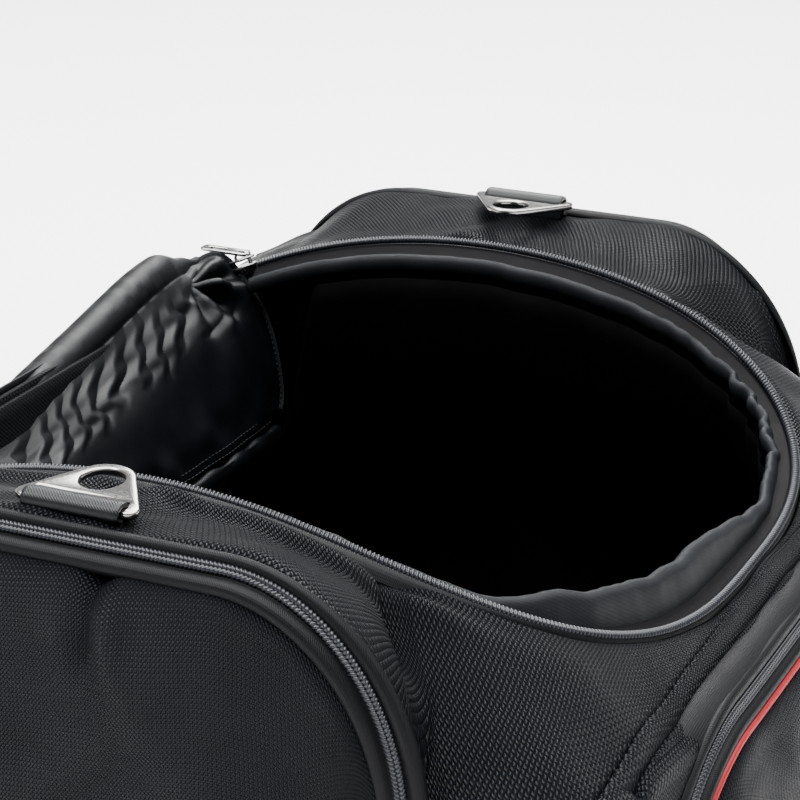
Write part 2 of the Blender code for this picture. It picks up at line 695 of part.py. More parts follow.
def make_rings(skins):
    for side, sign in SIDES:
        axis = Vector((0.0, RING_Y * sign, RING_Z))
        outer = LOOP_INNER + LOOP_WALL
        builder = bmesh.new()
        foot = RING_Z - (HEIGHT + 0.0016)
        profiles = []
        for x in (-WEBBING / 2, WEBBING / 2):
            outside = [(-outer, -foot), (outer, -foot), (outer, outer - 0.001), (outer - 0.001, outer),
                       (-outer + 0.001, outer), (-outer, outer - 0.001)]
            inside = [(-LOOP_INNER, -LOOP_INNER), (LOOP_INNER, -LOOP_INNER), (LOOP_INNER, LOOP_INNER * 0.7),
                      (LOOP_INNER * 0.7, LOOP_INNER), (-LOOP_INNER * 0.7, LOOP_INNER),
                      (-LOOP_INNER, LOOP_INNER * 0.7)]
            made = []
            for loop in (outside, inside):
                made.append([builder.verts.new(axis + Vector((x, y, z))) for y, z in loop])
            profiles.append(made)
        for k in range(6):
            other = (k + 1) % 6
            near_out, near_in = profiles[0]
            far_out, far_in = profiles[1]
            builder.faces.new((near_out[k], near_out[other], far_out[other], far_out[k]))
            builder.faces.new((near_in[other], near_in[k], far_in[k], far_in[other]))
            builder.faces.new((near_out[other], near_out[k], near_in[k], near_in[other]))
            builder.faces.new((far_out[k], far_out[other], far_in[other], far_in[k]))
        finish_mesh(side + "_ring_tab", builder, skins["tab"])

        curve = bpy.data.curves.new(side + "_ring", 'CURVE')
        curve.dimensions = '2D'
        curve.fill_mode = 'BOTH'
        curve.extrude = RING_THICKNESS / 2
        add_spline(curve, ring_outline())
        half_slot = WEBBING / 2 + 0.0004
        bar = 0.0017
        add_spline(curve, [(-half_slot, bar), (half_slot, bar), (half_slot, RING_SLOT),
                           (-half_slot, RING_SLOT)])
        hole_y = RING_DEPTH - RING_APEX_RADIUS
        hole = [(RING_HOLE_RADIUS * math.cos(a), hole_y + RING_HOLE_RADIUS * math.sin(a))
                for a in (2.0 * math.pi * k / 16 for k in range(16))]
        add_spline(curve, hole)
        curve.materials.append(skins["nickel"])
        ring = bpy.data.objects.new(side + "_ring", curve)
        bpy.context.scene.collection.objects.link(ring)
        ring.location = axis
        if sign > 0:
            ring.rotation_euler = (math.radians(RING_REST_DEG), 0.0, math.pi)
        else:
            ring.rotation_euler = (math.radians(RING_REST_DEG), 0.0, 0.0)


def main():
    clear_scene()
    skins = {
        "ballistic": material("ballistic_nylon", (0.020, 0.021, 0.024), 0.62),
        "twill": material("pocket_nylon", (0.024, 0.026, 0.030), 0.55),
        "satin": material("lining_satin", (0.010, 0.010, 0.013), 0.38),
        "tape": material("zip_tape", (0.022, 0.020, 0.028), 0.75),
        "coil": material("zip_coil", (0.045, 0.045, 0.050), 0.30),
        "board": material("base_board", (0.030, 0.030, 0.030), 0.60),
        "tab": material("webbing_tab", (0.030, 0.036, 0.040), 0.48),
        "nickel": material("polished_nickel", (0.72, 0.70, 0.67), 0.18, 1.0),
        "piping": material("red_piping", (0.62, 0.02, 0.04), 0.42),
    }
    make_base(skins)
    make_walls(skins)
    make_top(skins)
    make_lining(skins)
    make_main_zip(skins)
    make_lid(skins)
    make_fold(skins)
    make_end_pockets(skins)
    make_front_pocket(skins)
    make_rings(skins)


main()
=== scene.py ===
"""Looks of the soft travel holdall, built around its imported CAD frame.

Metres, +Z up, +X is the front, Y runs along the bag.  Every sheet is a grid of points with a
real thickness, and its UVs are lengths in metres, so that each weave has its true scale.
"""
import math

import bmesh
import bpy
import numpy as np
from mathutils import Matrix, Vector


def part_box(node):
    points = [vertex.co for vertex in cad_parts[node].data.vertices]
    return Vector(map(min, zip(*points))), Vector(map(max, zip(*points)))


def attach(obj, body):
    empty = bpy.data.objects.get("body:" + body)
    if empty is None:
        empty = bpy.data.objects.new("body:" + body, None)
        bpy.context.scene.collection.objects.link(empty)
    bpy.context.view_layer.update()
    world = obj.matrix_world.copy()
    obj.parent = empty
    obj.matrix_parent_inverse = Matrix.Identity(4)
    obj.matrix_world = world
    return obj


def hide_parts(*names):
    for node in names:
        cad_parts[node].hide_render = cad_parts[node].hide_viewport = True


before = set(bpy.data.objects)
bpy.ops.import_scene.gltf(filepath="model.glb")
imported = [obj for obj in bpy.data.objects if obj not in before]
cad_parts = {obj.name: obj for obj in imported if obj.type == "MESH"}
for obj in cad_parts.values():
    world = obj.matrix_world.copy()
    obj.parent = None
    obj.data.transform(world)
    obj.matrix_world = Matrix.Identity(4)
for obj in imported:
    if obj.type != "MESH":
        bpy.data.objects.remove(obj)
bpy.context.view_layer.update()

# Driving dimensions, as in the CAD ---------------------------------------------------------------

BASE_LOW, BASE_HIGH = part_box("base_panel")
BODY_BACK_X = BASE_LOW.x
BODY_FRONT_X = BASE_HIGH.x
BODY_HALF_LENGTH = BASE_HIGH.y
BODY_STRAIGHT_X = 0.120
BODY_POWER = 4.5
BACK_CORNER_RADIUS = 0.020
HEIGHT = 0.340
ARCH_RADIUS = 0.286
RIM_HALF_WIDTH = 0.152
RIM_STRAIGHT_X = 0.047
RIM_FRONT_X = 0.177
RIM_BACK_X = -0.117
RIM_POWER = 2.925
COIL_RADIUS = 0.0019
COIL_PITCH = 0.0016
RIDGE_X = -0.142
RIDGE_Z = HEIGHT - 0.026
SEAM_X = -0.104
SEAM_Z = HEIGHT - 0.097
LID_OPEN = math.radians(251.5)
LID_START_X = RIDGE_X + 0.0065
POCKET_HALF_WIDTH = 0.127
POCKET_CORNER_X = 0.065
POCKET_CORNER_Z = 0.080
POCKET_RISE = 0.002
POCKET_BOTTOM = 0.030
POCKET_BULGE = 0.030
FRONT_HALF_WIDTH = 0.145
FRONT_CORNER = 0.060
FRONT_DROP = 0.0775
FRONT_BOTTOM = 0.030
FRONT_BULGE = 0.030
RING_Y = 0.1985
RING_Z = HEIGHT + 0.0095
RING_DEPTH = 0.030
SIDES = (("left", -1), ("right", 1))
UP = (0.0, 0.0, 1.0)
BASE_CLOTH = 0.0030


def smooth(low, high, value):
    """0 below low, 1 above high, and a smooth step between them."""
    share = np.clip((value - low) / (high - low), 0.0, 1.0)
    return share * share * (3.0 - 2.0 * share)


def bump(distance, width):
    """1 at no distance, falling off smoothly on both sides over about the width."""
    return np.exp(-(distance / width) ** 2)


def waves(u, v, wavelength, seed, count=7):
    """Smooth, repeatable unevenness between about -1 and 1 over two lengths."""
    rng = np.random.default_rng(seed)
    total = np.zeros_like(np.asarray(u, float) + np.asarray(v, float))
    for _ in range(count):
        angle = rng.uniform(0.0, math.pi)
        size = wavelength * rng.uniform(0.6, 1.7)
        phase = rng.uniform(0.0, 2.0 * math.pi)
        total += np.sin(2.0 * math.pi * (u * math.cos(angle) + v * math.sin(angle)) / size + phase)
    return total / math.sqrt(count) / 1.4


# Plan curves and heights -------------------------------------------------------------------------

def arch_z(x):
    return HEIGHT - ARCH_RADIUS + np.sqrt(ARCH_RADIUS ** 2 - np.minimum(np.abs(x), 0.28) ** 2)


def edge_height(x):
    """The body's top edge: the arch, which slumps at the front corners, or the pocket's zip."""
    slump = smooth(0.075, 0.140, x)
    held = arch_z(x) * (1.0 - slump) + arch_z(BODY_FRONT_X) * slump
    return np.maximum(held, pocket_z(x) + 0.0030)


def pocket_z(x):
    over = np.clip((np.abs(x) - (POCKET_HALF_WIDTH - POCKET_CORNER_X)) / POCKET_CORNER_X, 0.0, 1.0)
    return HEIGHT + POCKET_RISE - POCKET_CORNER_Z * (1.0 - np.sqrt(1.0 - over ** 2))


def lengths_of(points):
    steps = np.linalg.norm(np.diff(points, axis=0), axis=1)
    return np.concatenate([[0.0], np.cumsum(steps)])


def unit(vectors):
    """The same vectors, each of length 1."""
    return vectors / np.linalg.norm(vectors, axis=-1)[..., None]


def softened(values, passes):
    """A row of values or points with its corners rubbed down and its two ends kept."""
    for _ in range(passes):
        values[1:-1] = 0.25 * values[:-2] + 0.5 * values[1:-1] + 0.25 * values[2:]
    return values


def lifted(plan, z):
    """Plan points with their heights, as points in space."""
    return np.concatenate([plan, np.broadcast_to(z, len(plan))[:, None]], 1)


def resample(points, count, start=0.0, end=1.0):
    """count + 1 evenly spaced points along a polyline, between two shares of its length."""
    along = lengths_of(points)
    wanted = np.linspace(start, end, count + 1) * along[-1]
    return np.stack([np.interp(wanted, along, points[:, k]) for k in range(points.shape[1])], 1)


def quarter(straight_x, front_x, half_width, power, steps=80):
    """Rounded front corner of the right half in plan, from the front's middle to the side."""
    angle = np.linspace(0.0, 0.5 * math.pi, steps + 1)
    x = straight_x + (front_x - straight_x) * np.clip(np.cos(angle), 0.0, 1.0) ** (2.0 / power)
    y = half_width * np.sin(angle) ** (2.0 / power)
    return np.stack([x, y], 1)


def plan_normals(points):
    """Unit vectors that point inwards from a plan path of the right half."""
    heading = unit(np.gradient(points, axis=0))
    return np.stack([-heading[:, 1], heading[:, 0]], 1)


def moved_in(points, inset):
    moved = points + plan_normals(points) * inset
    moved[0, 1] = 0.0
    return moved


def rim_half(inset=0.0, back_x=RIM_BACK_X):
    points = quarter(RIM_STRAIGHT_X, RIM_FRONT_X, RIM_HALF_WIDTH, RIM_POWER)
    points = np.concatenate([points, [[back_x, RIM_HALF_WIDTH]]])
    return moved_in(resample(points, 400), inset)


def body_half(inset=0.0):
    points = [quarter(BODY_STRAIGHT_X, BODY_FRONT_X, BODY_HALF_LENGTH, BODY_POWER)]
    centre = np.array([BODY_BACK_X + BACK_CORNER_RADIUS, BODY_HALF_LENGTH - BACK_CORNER_RADIUS])
    angle = np.linspace(0.5 * math.pi, math.pi, 13)
    points.append(centre + np.stack([np.cos(angle), np.sin(angle)], 1) * BACK_CORNER_RADIUS)
    points.append([[BODY_BACK_X, 0.0]])
    moved = moved_in(resample(np.concatenate(points), 600), inset)
    moved[-1, 1] = 0.0
    return moved


def whole(half):
    """The path of both halves, left side first, from a right half that starts in the middle."""
    return np.concatenate([half[::-1] * [1.0, -1.0], half[1:]])


# Meshes ------------------------------------------------------------------------------------------

MATERIALS = {}
SLOTS = {"ballistic": "ballistic_nylon", "pocket": "pocket_nylon", "tape": "zip_tape",
         "inner_tape": "zip_tape", "hem": "lining_satin", "satin": "lining_satin",
         "black": "lining_satin", "webbing": "webbing_tab", "piping": "red_piping",
         "coil": "zip_coil", "nickel": "polished_nickel"}


def show(name, mesh, skin, body="bag", replaces=(), slot=None, sharp=None):
    """Links a mesh as a piece that rides on a body, with its material."""
    slot = slot or SLOTS.get(skin)
    made = bpy.data.objects.new(name, mesh)
    bpy.context.scene.collection.objects.link(made)
    mesh.materials.append(MATERIALS[skin])
    mesh.shade_smooth()
    if sharp is not None:
        mesh.set_sharp_from_angle(angle=math.radians(sharp))
    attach(made, body)
    if replaces:
        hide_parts(*replaces)
    return made


def mesh_from(name, verts, faces, uvs):
    """A mesh whose UVs, one for each vertex, are lengths in metres."""
    mesh = bpy.data.meshes.new(name)
    mesh.from_pydata(verts.tolist(), [], faces)
    layer = mesh.uv_layers.new(name="lengths")
    loops = np.zeros(len(mesh.loops), np.int64)
    mesh.loops.foreach_get("vertex_index", loops)
    layer.data.foreach_set("uv", uvs[loops].astype(np.float32).ravel())
    mesh.update()
    return mesh


def grid_normals(points, closed=False):
    down = np.gradient(points, axis=0)
    if closed:
        along = np.roll(points, -1, 1) - np.roll(points, 1, 1)
    else:
        along = np.gradient(points, axis=1)
    normals = np.cross(down, along)
    size = np.linalg.norm(normals, axis=2)[..., None]
    return normals / np.maximum(size, 1e-12)


def sheet(name, points, thickness, skin, body="bag", closed=False, **more):
    """A sheet on a (rows, columns) grid of points. Its thickness lies against its normals."""
    rows, columns = points.shape[:2]
    normals = grid_normals(points, closed)
    back = points - normals * thickness
    verts = np.concatenate([points.reshape(-1, 3), back.reshape(-1, 3)])
    count = rows * columns
    index = np.arange(count).reshape(rows, columns)
    right = np.roll(index, -1, 1) if closed else index[:, 1:]
    left = index if closed else index[:, :-1]
    front_faces = np.stack([left[:-1], left[1:], right[1:], right[:-1]], -1).reshape(-1, 4)
    back_faces = front_faces[:, ::-1] + count
    sides = [np.stack([left[0], right[0], right[0] + count, left[0] + count], -1).reshape(-1, 4),
             np.stack([right[-1], left[-1], left[-1] + count, right[-1] + count], -1).reshape(-1, 4)]
    if not closed:
        first, last = index[:, 0], index[:, -1]
        sides.append(np.stack([first[1:], first[:-1], first[:-1] + count, first[1:] + count], -1))
        sides.append(np.stack([last[:-1], last[1:], last[1:] + count, last[:-1] + count], -1))
    faces = np.concatenate([front_faces, back_faces] + sides)
    u = lengths_of(points[rows // 2])
    v = np.concatenate([[0.0], np.cumsum(np.linalg.norm(np.diff(points, axis=0), axis=2).mean(1))])
    uv = np.stack(np.meshgrid(u, v), -1).reshape(-1, 2)
    mesh = mesh_from(name, verts, faces.tolist(), np.concatenate([uv, uv]))
    return show(name, mesh, skin, body, **more)


def frames_along(path, up):
    """Unit tangent, across and up vectors along a path, from one or many wished up directions."""
    tangent = unit(np.gradient(path, axis=0))
    across = unit(np.cross(tangent, up))
    return tangent, across, np.cross(across, tangent)


def tube_data(path, up, half_width, half_height, sides=10, ribs=None):
    """Vertices and faces of a closed tube. ribs is (pitch, share of depth, phase, slant)."""
    along = lengths_of(path)
    phase = np.zeros(len(path))
    swell = np.ones(len(path))
    slant = 0.0
    if ribs is not None:
        pitch, depth, shift, slant = ribs
        phase = np.abs(np.sin(math.pi * (along / pitch + shift)))
        swell = 1.0 - depth + depth * phase ** 0.6
    tangent, across, over = frames_along(path, up)
    angle = 2.0 * math.pi * np.arange(sides) / sides
    ring = (across[:, None] * np.cos(angle)[None, :, None] * half_width
            + over[:, None] * np.sin(angle)[None, :, None] * half_height)
    verts = path[:, None] + ring * swell[:, None, None]
    verts = verts + tangent[:, None] * (np.cos(angle)[None, :, None] * slant)
    count = len(path)
    index = np.arange(count * sides).reshape(count, sides)
    right = np.roll(index, -1, 1)
    faces = [tuple(f) for f in np.stack([index[:-1], right[:-1], right[1:], index[1:]], -1)
             .reshape(-1, 4)]
    faces.append(tuple(index[0][::-1]))
    faces.append(tuple(index[-1]))
    uv = np.stack([np.repeat(along, sides), np.tile(angle / (2.0 * math.pi) * 0.01, count)], 1)
    return verts.reshape(-1, 3), faces, uv


def tubes(name, parts, skin, body="bag", **more):
    """One mesh of several tubes, each the arguments of tube_data as a dict."""
    all_verts, all_faces, all_uv, base = [], [], [], 0
    for part in parts:
        verts, faces, uv = tube_data(**part)
        all_verts.append(verts)
        all_uv.append(uv)
        all_faces += [tuple(int(i) + base for i in f) for f in faces]
        base += len(verts)
    mesh = mesh_from(name, np.concatenate(all_verts), all_faces, np.concatenate(all_uv))
    return show(name, mesh, skin, body, **more)


def even(path, spacing):
    """A path with points at about the given spacing."""
    return resample(path, max(int(round(lengths_of(path)[-1] / spacing)), 2))


def thread(name, path, up, body="bag", pitch=0.0030, length=0.0021, radius=0.00028, lift=0.0):
    """A row of stitches along a path: each a short round thread with sunken ends."""
    along = lengths_of(path)
    count = int(along[-1] / pitch)
    ups = np.broadcast_to(up, path.shape)
    parts = []
    for k in range(count):
        spots = (k + 0.5) * pitch + np.linspace(-0.5, 0.5, 4) * length
        piece = np.stack([np.interp(spots, along, path[:, i]) for i in range(3)], 1)
        over = np.stack([np.interp(spots, along, ups[:, i]) for i in range(3)], 1)
        piece = piece + over * (lift + np.array([-0.0004, 0.0001, 0.0001, -0.0004])[:, None])
        parts.append(dict(path=piece, up=over, half_width=radius, half_height=radius, sides=5))
    return tubes(name, parts, "stitch", body)


# Materials ---------------------------------------------------------------------------------------

class Nodes:
    """Short hand for building a node material."""

    def __init__(self, name):
        self.material = bpy.data.materials.new(name)
        self.material.use_nodes = True
        self.tree = self.material.node_tree
        self.shader = self.tree.nodes["Principled BSDF"]

    def node(self, kind, **values):
        made = self.tree.nodes.new(kind)
        for key, value in values.items():
            setattr(made, key, value)
        return made

    def link(self, a, b):
        self.tree.links.new(a, b)

    def math(self, operation, a, b=0.0, c=0.0):
        made = self.node("ShaderNodeMath", operation=operation)
        for socket, value in zip(made.inputs, (a, b, c)):
            if isinstance(value, bpy.types.NodeSocket):
                self.link(value, socket)
            else:
                socket.default_value = value
        return made.outputs[0]

    def mix(self, factor, low, high):
        made = self.node("ShaderNodeMix", data_type='RGBA')
        if isinstance(factor, bpy.types.NodeSocket):
            self.link(factor, made.inputs["Factor"])
        else:
            made.inputs["Factor"].default_value = factor
        made.inputs["A"].default_value = (*low, 1.0)
        made.inputs["B"].default_value = (*high, 1.0)
        return made.outputs["Result"]

    def noise(self, scale, detail=3.0, vector=None):
        made = self.node("ShaderNodeTexNoise")
        made.inputs["Scale"].default_value = scale
        made.inputs["Detail"].default_value = detail
        if vector is None:
            vector = self.node("ShaderNodeTexCoord").outputs["Object"]
        self.link(vector, made.inputs["Vector"])
        return made.outputs["Fac"]

    def threads(self, pitch, turn=0.0):
        """The UV lengths in threads: u and v as two sockets."""
        uv = self.node("ShaderNodeUVMap").outputs["UV"]
        place = self.node("ShaderNodeMapping")
        place.inputs["Rotation"].default_value = (0.0, 0.0, math.radians(turn))
        place.inputs["Scale"].default_value = (1.0 / pitch, 1.0 / pitch, 1.0)
        self.link(uv, place.inputs["Vector"])
        split = self.node("ShaderNodeSeparateXYZ")
        self.link(place.outputs["Vector"], split.inputs["Vector"])
        return split.outputs["X"], split.outputs["Y"]

    def rib(self, value):
        return self.math('ABSOLUTE', self.math('SINE', self.math('MULTIPLY', value, math.pi)))

    def basket(self, pitch, turn):
        """Height of a basket weave: warp shows in half of the cells, weft in the others."""
        u, v = self.threads(pitch, turn)
        cells = self.math('ADD', self.math('FLOOR', u), self.math('FLOOR', v))
        odd = self.math('ABSOLUTE', self.math('MODULO', cells, 2.0))
        warp = self.math('MULTIPLY', self.rib(u), self.math('POWER', self.rib(v), 0.35))
        weft = self.math('MULTIPLY', self.rib(v), self.math('POWER', self.rib(u), 0.35))
        rest = self.math('SUBTRACT', 1.0, odd)
        return self.math('ADD', self.math('MULTIPLY', warp, odd),
                         self.math('MULTIPLY', self.math('MULTIPLY', weft, rest), 0.75))

    def twill(self, pitch, turn):
        u, v = self.threads(pitch, turn)
        slope = self.math('ADD', u, v)
        return self.math('MULTIPLY', self.rib(slope), self.math('POWER', self.rib(v), 0.3))

    def finish(self, colour, height=None, bump=0.0005, strength=1.0):
        self.link(colour, self.shader.inputs["Base Color"])
        if height is not None:
            made = self.node("ShaderNodeBump")
            made.inputs["Distance"].default_value = bump
            made.inputs["Strength"].default_value = strength
            self.link(height, made.inputs["Height"])
            self.link(made.outputs["Normal"], self.shader.inputs["Normal"])
        return self.material

    def set(self, **values):
        for key, value in values.items():
            self.shader.inputs[key.replace("_", " ")].default_value = value


# Piece's cloth, material's name, colour between threads (painted shade) and on their crowns
# (painted highlight); then the weave, its pitch and turn, roughness, depth and strength of the bump,
# and specular level.
CLOTHS = (
    ("ballistic", "ballistic_nylon", (0.0001, 0.0001, 0.0002), (0.0058, 0.0068, 0.0092),
     "basket", 0.00145, 45.0, 0.4, 0.0009, 1.0, 0.075),
    ("pocket", "pocket_nylon", (0.0002, 0.0002, 0.0004), (0.0048, 0.006, 0.0086),
     "basket", 0.0011, 38.0, 0.42, 0.00065, 1.0, 0.07),
    ("tape", "zip_tape", (0.0003, 0.0003, 0.0005), (0.002, 0.0023, 0.0032),
     "twill", 0.0009, 0.0, 0.5, 0.00012, 0.7, 0.1),
    ("inner_tape", "inner_zip_tape", (0.0005, 0.0004, 0.0006), (0.002, 0.0016, 0.0024),
     "twill", 0.0009, 0.0, 0.62, 0.00012, 0.7, 0.06),
    ("hem", "lining_hem", (0.0014, 0.0017, 0.0021), (0.0085, 0.0098, 0.012),
     "twill", 0.00065, 10.0, 0.5, 0.00012, 0.7, 0.12),
    ("satin", "lining_satin", (0.0004, 0.0005, 0.0008), (0.0024, 0.003, 0.0042),
     "twill", 0.0007, 20.0, 0.38, 0.00008, 0.6, 0.15),
    # A darker, duller copy of the lining satin for the bag's inside: painted shade for the dark inside of
    # the bag.
    ("black", "inner_satin", (0.0002, 0.0002, 0.0003), (0.0008, 0.0008, 0.0011),
     "twill", 0.0008, 20.0, 0.75, 0.00006, 0.5, 0.02),
    ("webbing", "webbing_tab", (0.0006, 0.0008, 0.0011), (0.0036, 0.0048, 0.006),
     "twill", 0.0012, 0.0, 0.36, 0.00012, 0.6, 0.2),
    ("piping", "red_piping", (0.11, 0.0008, 0.003), (0.3, 0.003, 0.009),
     "twill", 0.0006, 30.0, 0.45, 0.00006, 0.5, 0.2),
    ("stitch", "thread", (0.0022, 0.0025, 0.0032), (0.013, 0.014, 0.0165),
     "twill", 0.0004, 25.0, 0.5, 0.00005, 0.6, 0.15),
)


def woven(name, low, high, weave, pitch, turn, rough, bump, strength, specular):
    """A cloth: threads painted lighter on their crowns and darker between them (painted highlight and
    shade), with uneven dye and wear.
    """
    made = Nodes(name)
    height = getattr(made, weave)(pitch, turn)
    uneven = made.noise(38.0, 4.0)
    # The weave's height paints the crowns lighter and the gaps between threads darker: painted highlight and
    # shade. The noise is uneven dye and wear.
    dye_and_painted_weave_light = made.math('MULTIPLY_ADD', uneven, 0.40, made.math('MULTIPLY', height, 0.85))
    dye_and_painted_weave_light = made.math('SUBTRACT', dye_and_painted_weave_light, 0.25)
    made.set(Specular_IOR_Level=specular)
    roughness = made.math('MULTIPLY_ADD', made.noise(90.0, 2.0), 0.16, rough - 0.08)
    made.link(roughness, made.shader.inputs["Roughness"])
    return made.finish(made.mix(dye_and_painted_weave_light, low, high), height, bump, strength)


def make_materials():
    for key, *values in CLOTHS:
        MATERIALS[key] = woven(*values)

    coil = Nodes("zip_coil")
    coil.set(Roughness=0.30, Specular_IOR_Level=0.25, Coat_Weight=0.08, Coat_Roughness=0.2)
    MATERIALS["coil"] = coil.finish(coil.mix(coil.noise(500.0), (0.0030, 0.0030, 0.0042),
                                             (0.0150, 0.0165, 0.0205)))

    metal = Nodes("polished_nickel")
    metal.set(Metallic=1.0)
    scratch = metal.noise(900.0, 5.0)
    metal.link(metal.math('MULTIPLY_ADD', scratch, 0.18, 0.10), metal.shader.inputs["Roughness"])
    MATERIALS["nickel"] = metal.finish(metal.mix(metal.noise(120.0), (0.20, 0.193, 0.186),
                                                 (0.40, 0.388, 0.375)), scratch, 0.00002, 0.5)

    board = Nodes("base_board")
    board.set(Roughness=0.8)
    grain = board.noise(300.0, 5.0)
    MATERIALS["board"] = board.finish(board.mix(grain, (0.015, 0.015, 0.016), (0.04, 0.04, 0.042)),
                                      grain, 0.0003)


# Top panel and rim -------------------------------------------------------------------------------

TOP_COLUMNS = 520
TOP_ROWS = 64
SHOULDER = 0.0045
FABRIC = 0.0018
FRONT_SEAM_X = 0.1808
FRONT_GAP_X = 0.1868
# Shares of the body's half outline where the corner seams stand, and half of a seam.
FRONT_SHARE = 0.210
BACK_SHARE = 0.736
SEAM_SHARE = 0.0012


def top_height(x, y, sag):
    """Surface of the stretched top at a plan point, with its soft waves and its two front seams.
    sag is how far the surface lies under the arch there."""
    crest = arch_z(x) + sag
    edge = smooth(RIM_HALF_WIDTH + 0.012, BODY_HALF_LENGTH - 0.003, np.abs(y))
    rise = np.maximum(pocket_z(x) + np.where(y < 0.0, 0.0030, 0.0006) - crest, 0.0) * edge
    sway = waves(x, y, 0.060, 3) * 0.0013 + waves(x, y, 0.024, 4) * 0.0005
    # Pulled folds that run out from under the webbing tabs.
    dx, dy = x, RING_Y - 0.004 - np.abs(y)
    reach = np.hypot(dx, dy)
    pull = np.sin(7.0 * np.arctan2(dy, dx) + 0.7) * bump(reach - 0.034, 0.018)
    seam = 0.0036 * bump(x - FRONT_SEAM_X, 0.0007)
    gap = 0.0040 * bump(x - FRONT_GAP_X, 0.0008)
    roll = 0.0013 * np.exp(-((x - 0.5 * (FRONT_SEAM_X + FRONT_GAP_X)) / 0.0024) ** 2)
    return crest + rise + sway + 0.0011 * pull - seam - gap + roll


def make_top():
    inner = whole(resample(rim_half(-0.0022, BODY_BACK_X + 0.002), TOP_COLUMNS // 2))
    outer = whole(resample(body_half(SHOULDER), TOP_COLUMNS // 2, 0.0, BACK_SHARE))
    outside = whole(resample(body_half(), TOP_COLUMNS // 2, 0.0, BACK_SHARE))
    share = np.linspace(0.0, 1.0, TOP_ROWS)[:, None, None]
    plan = inner[None] * (1.0 - share) + outer[None] * share
    x, y = plan[..., 0], plan[..., 1]
    gap = np.linalg.norm(plan - inner[None], axis=2)
    held = np.maximum(arch_z(outer[:, 0]), pocket_z(outer[:, 0]) + 0.0030)
    sag = edge_height(outer[:, 0]) - held
    z = top_height(x, y, sag[None] * share[..., 0])
    side = (1.0 - smooth(0.09, 0.15, x)) * (1.0 - smooth(-0.12, -0.06, y))
    z += side * (0.0030 * bump(gap - 0.0110, 0.0050)
                 - 0.0026 * bump(gap - 0.0045, 0.0035))
    z -= 0.0012 * np.exp(-(gap / 0.0015) ** 2)
    surface = np.stack([x, y, z], -1)
    lip = surface[:1].copy()
    lip[..., 2] -= 0.0022
    rows = [lip, surface]
    turn = np.linspace(0.0, 0.5 * math.pi, 9)[1:, None, None]
    across = (outside - outer)[None]
    bend = outer[None] + across * np.sin(turn)
    last = z[-1][None]
    rows.append(np.concatenate([bend, (last - SHOULDER * (1.0 - np.cos(turn[..., 0])))[..., None]], -1))
    for drop in (0.003, 0.007, 0.012):
        low = rows[-1][-1:].copy()
        low[..., 2] = last - SHOULDER - drop
        rows.append(low)
    points = np.concatenate(rows)
    sheet("top_panel", points[:, ::-1], FABRIC, "ballistic",
          replaces=("front_top_strip", "left_top_strip", "right_top_strip"))

    half = resample(rim_half(), 400)
    rim = whole(half)
    inward = whole(plan_normals(half))
    inward[400] = (-1.0, 0.0)
    width = 0.0012 + 0.0052 * (1.0 - smooth(0.085, 0.150, rim[:, 0])) * (rim[:, 1] < 0.0)
    rows = []
    for share in np.linspace(0.0, 1.0, 9):
        spot = rim - inward * (0.0008 + width * share)[:, None]
        lift = -0.0016 + 0.0021 * math.sin(math.pi * min(share + 0.12, 1.0)) ** 0.7 - 0.0022 * share ** 3
        rows.append(lifted(spot, arch_z(spot[:, 0]) + lift))
    sheet("main_zip_outer_tape", np.stack(rows)[:, ::-1], 0.0009, "tape")
    return rim, inward


def hem_reach(rim):
    """How far the hem stands in from the rim, and how high: it bulges most at the front left."""
    x, y = rim[:, 0], rim[:, 1]
    bulge = smooth(0.105, 0.160, x) * (1.0 - smooth(-0.030, 0.050, y)) * smooth(-0.150, -0.120, y)
    far = smooth(0.0, 0.08, y) * (1.0 - 0.6 * smooth(0.12, 0.17, x))
    reach = 0.0124 - 0.0024 * far + 0.0048 * bulge
    lift = -0.0050 + 0.0008 * far + 0.0030 * smooth(0.12, 0.17, x) + 0.0045 * bulge
    return reach, lift


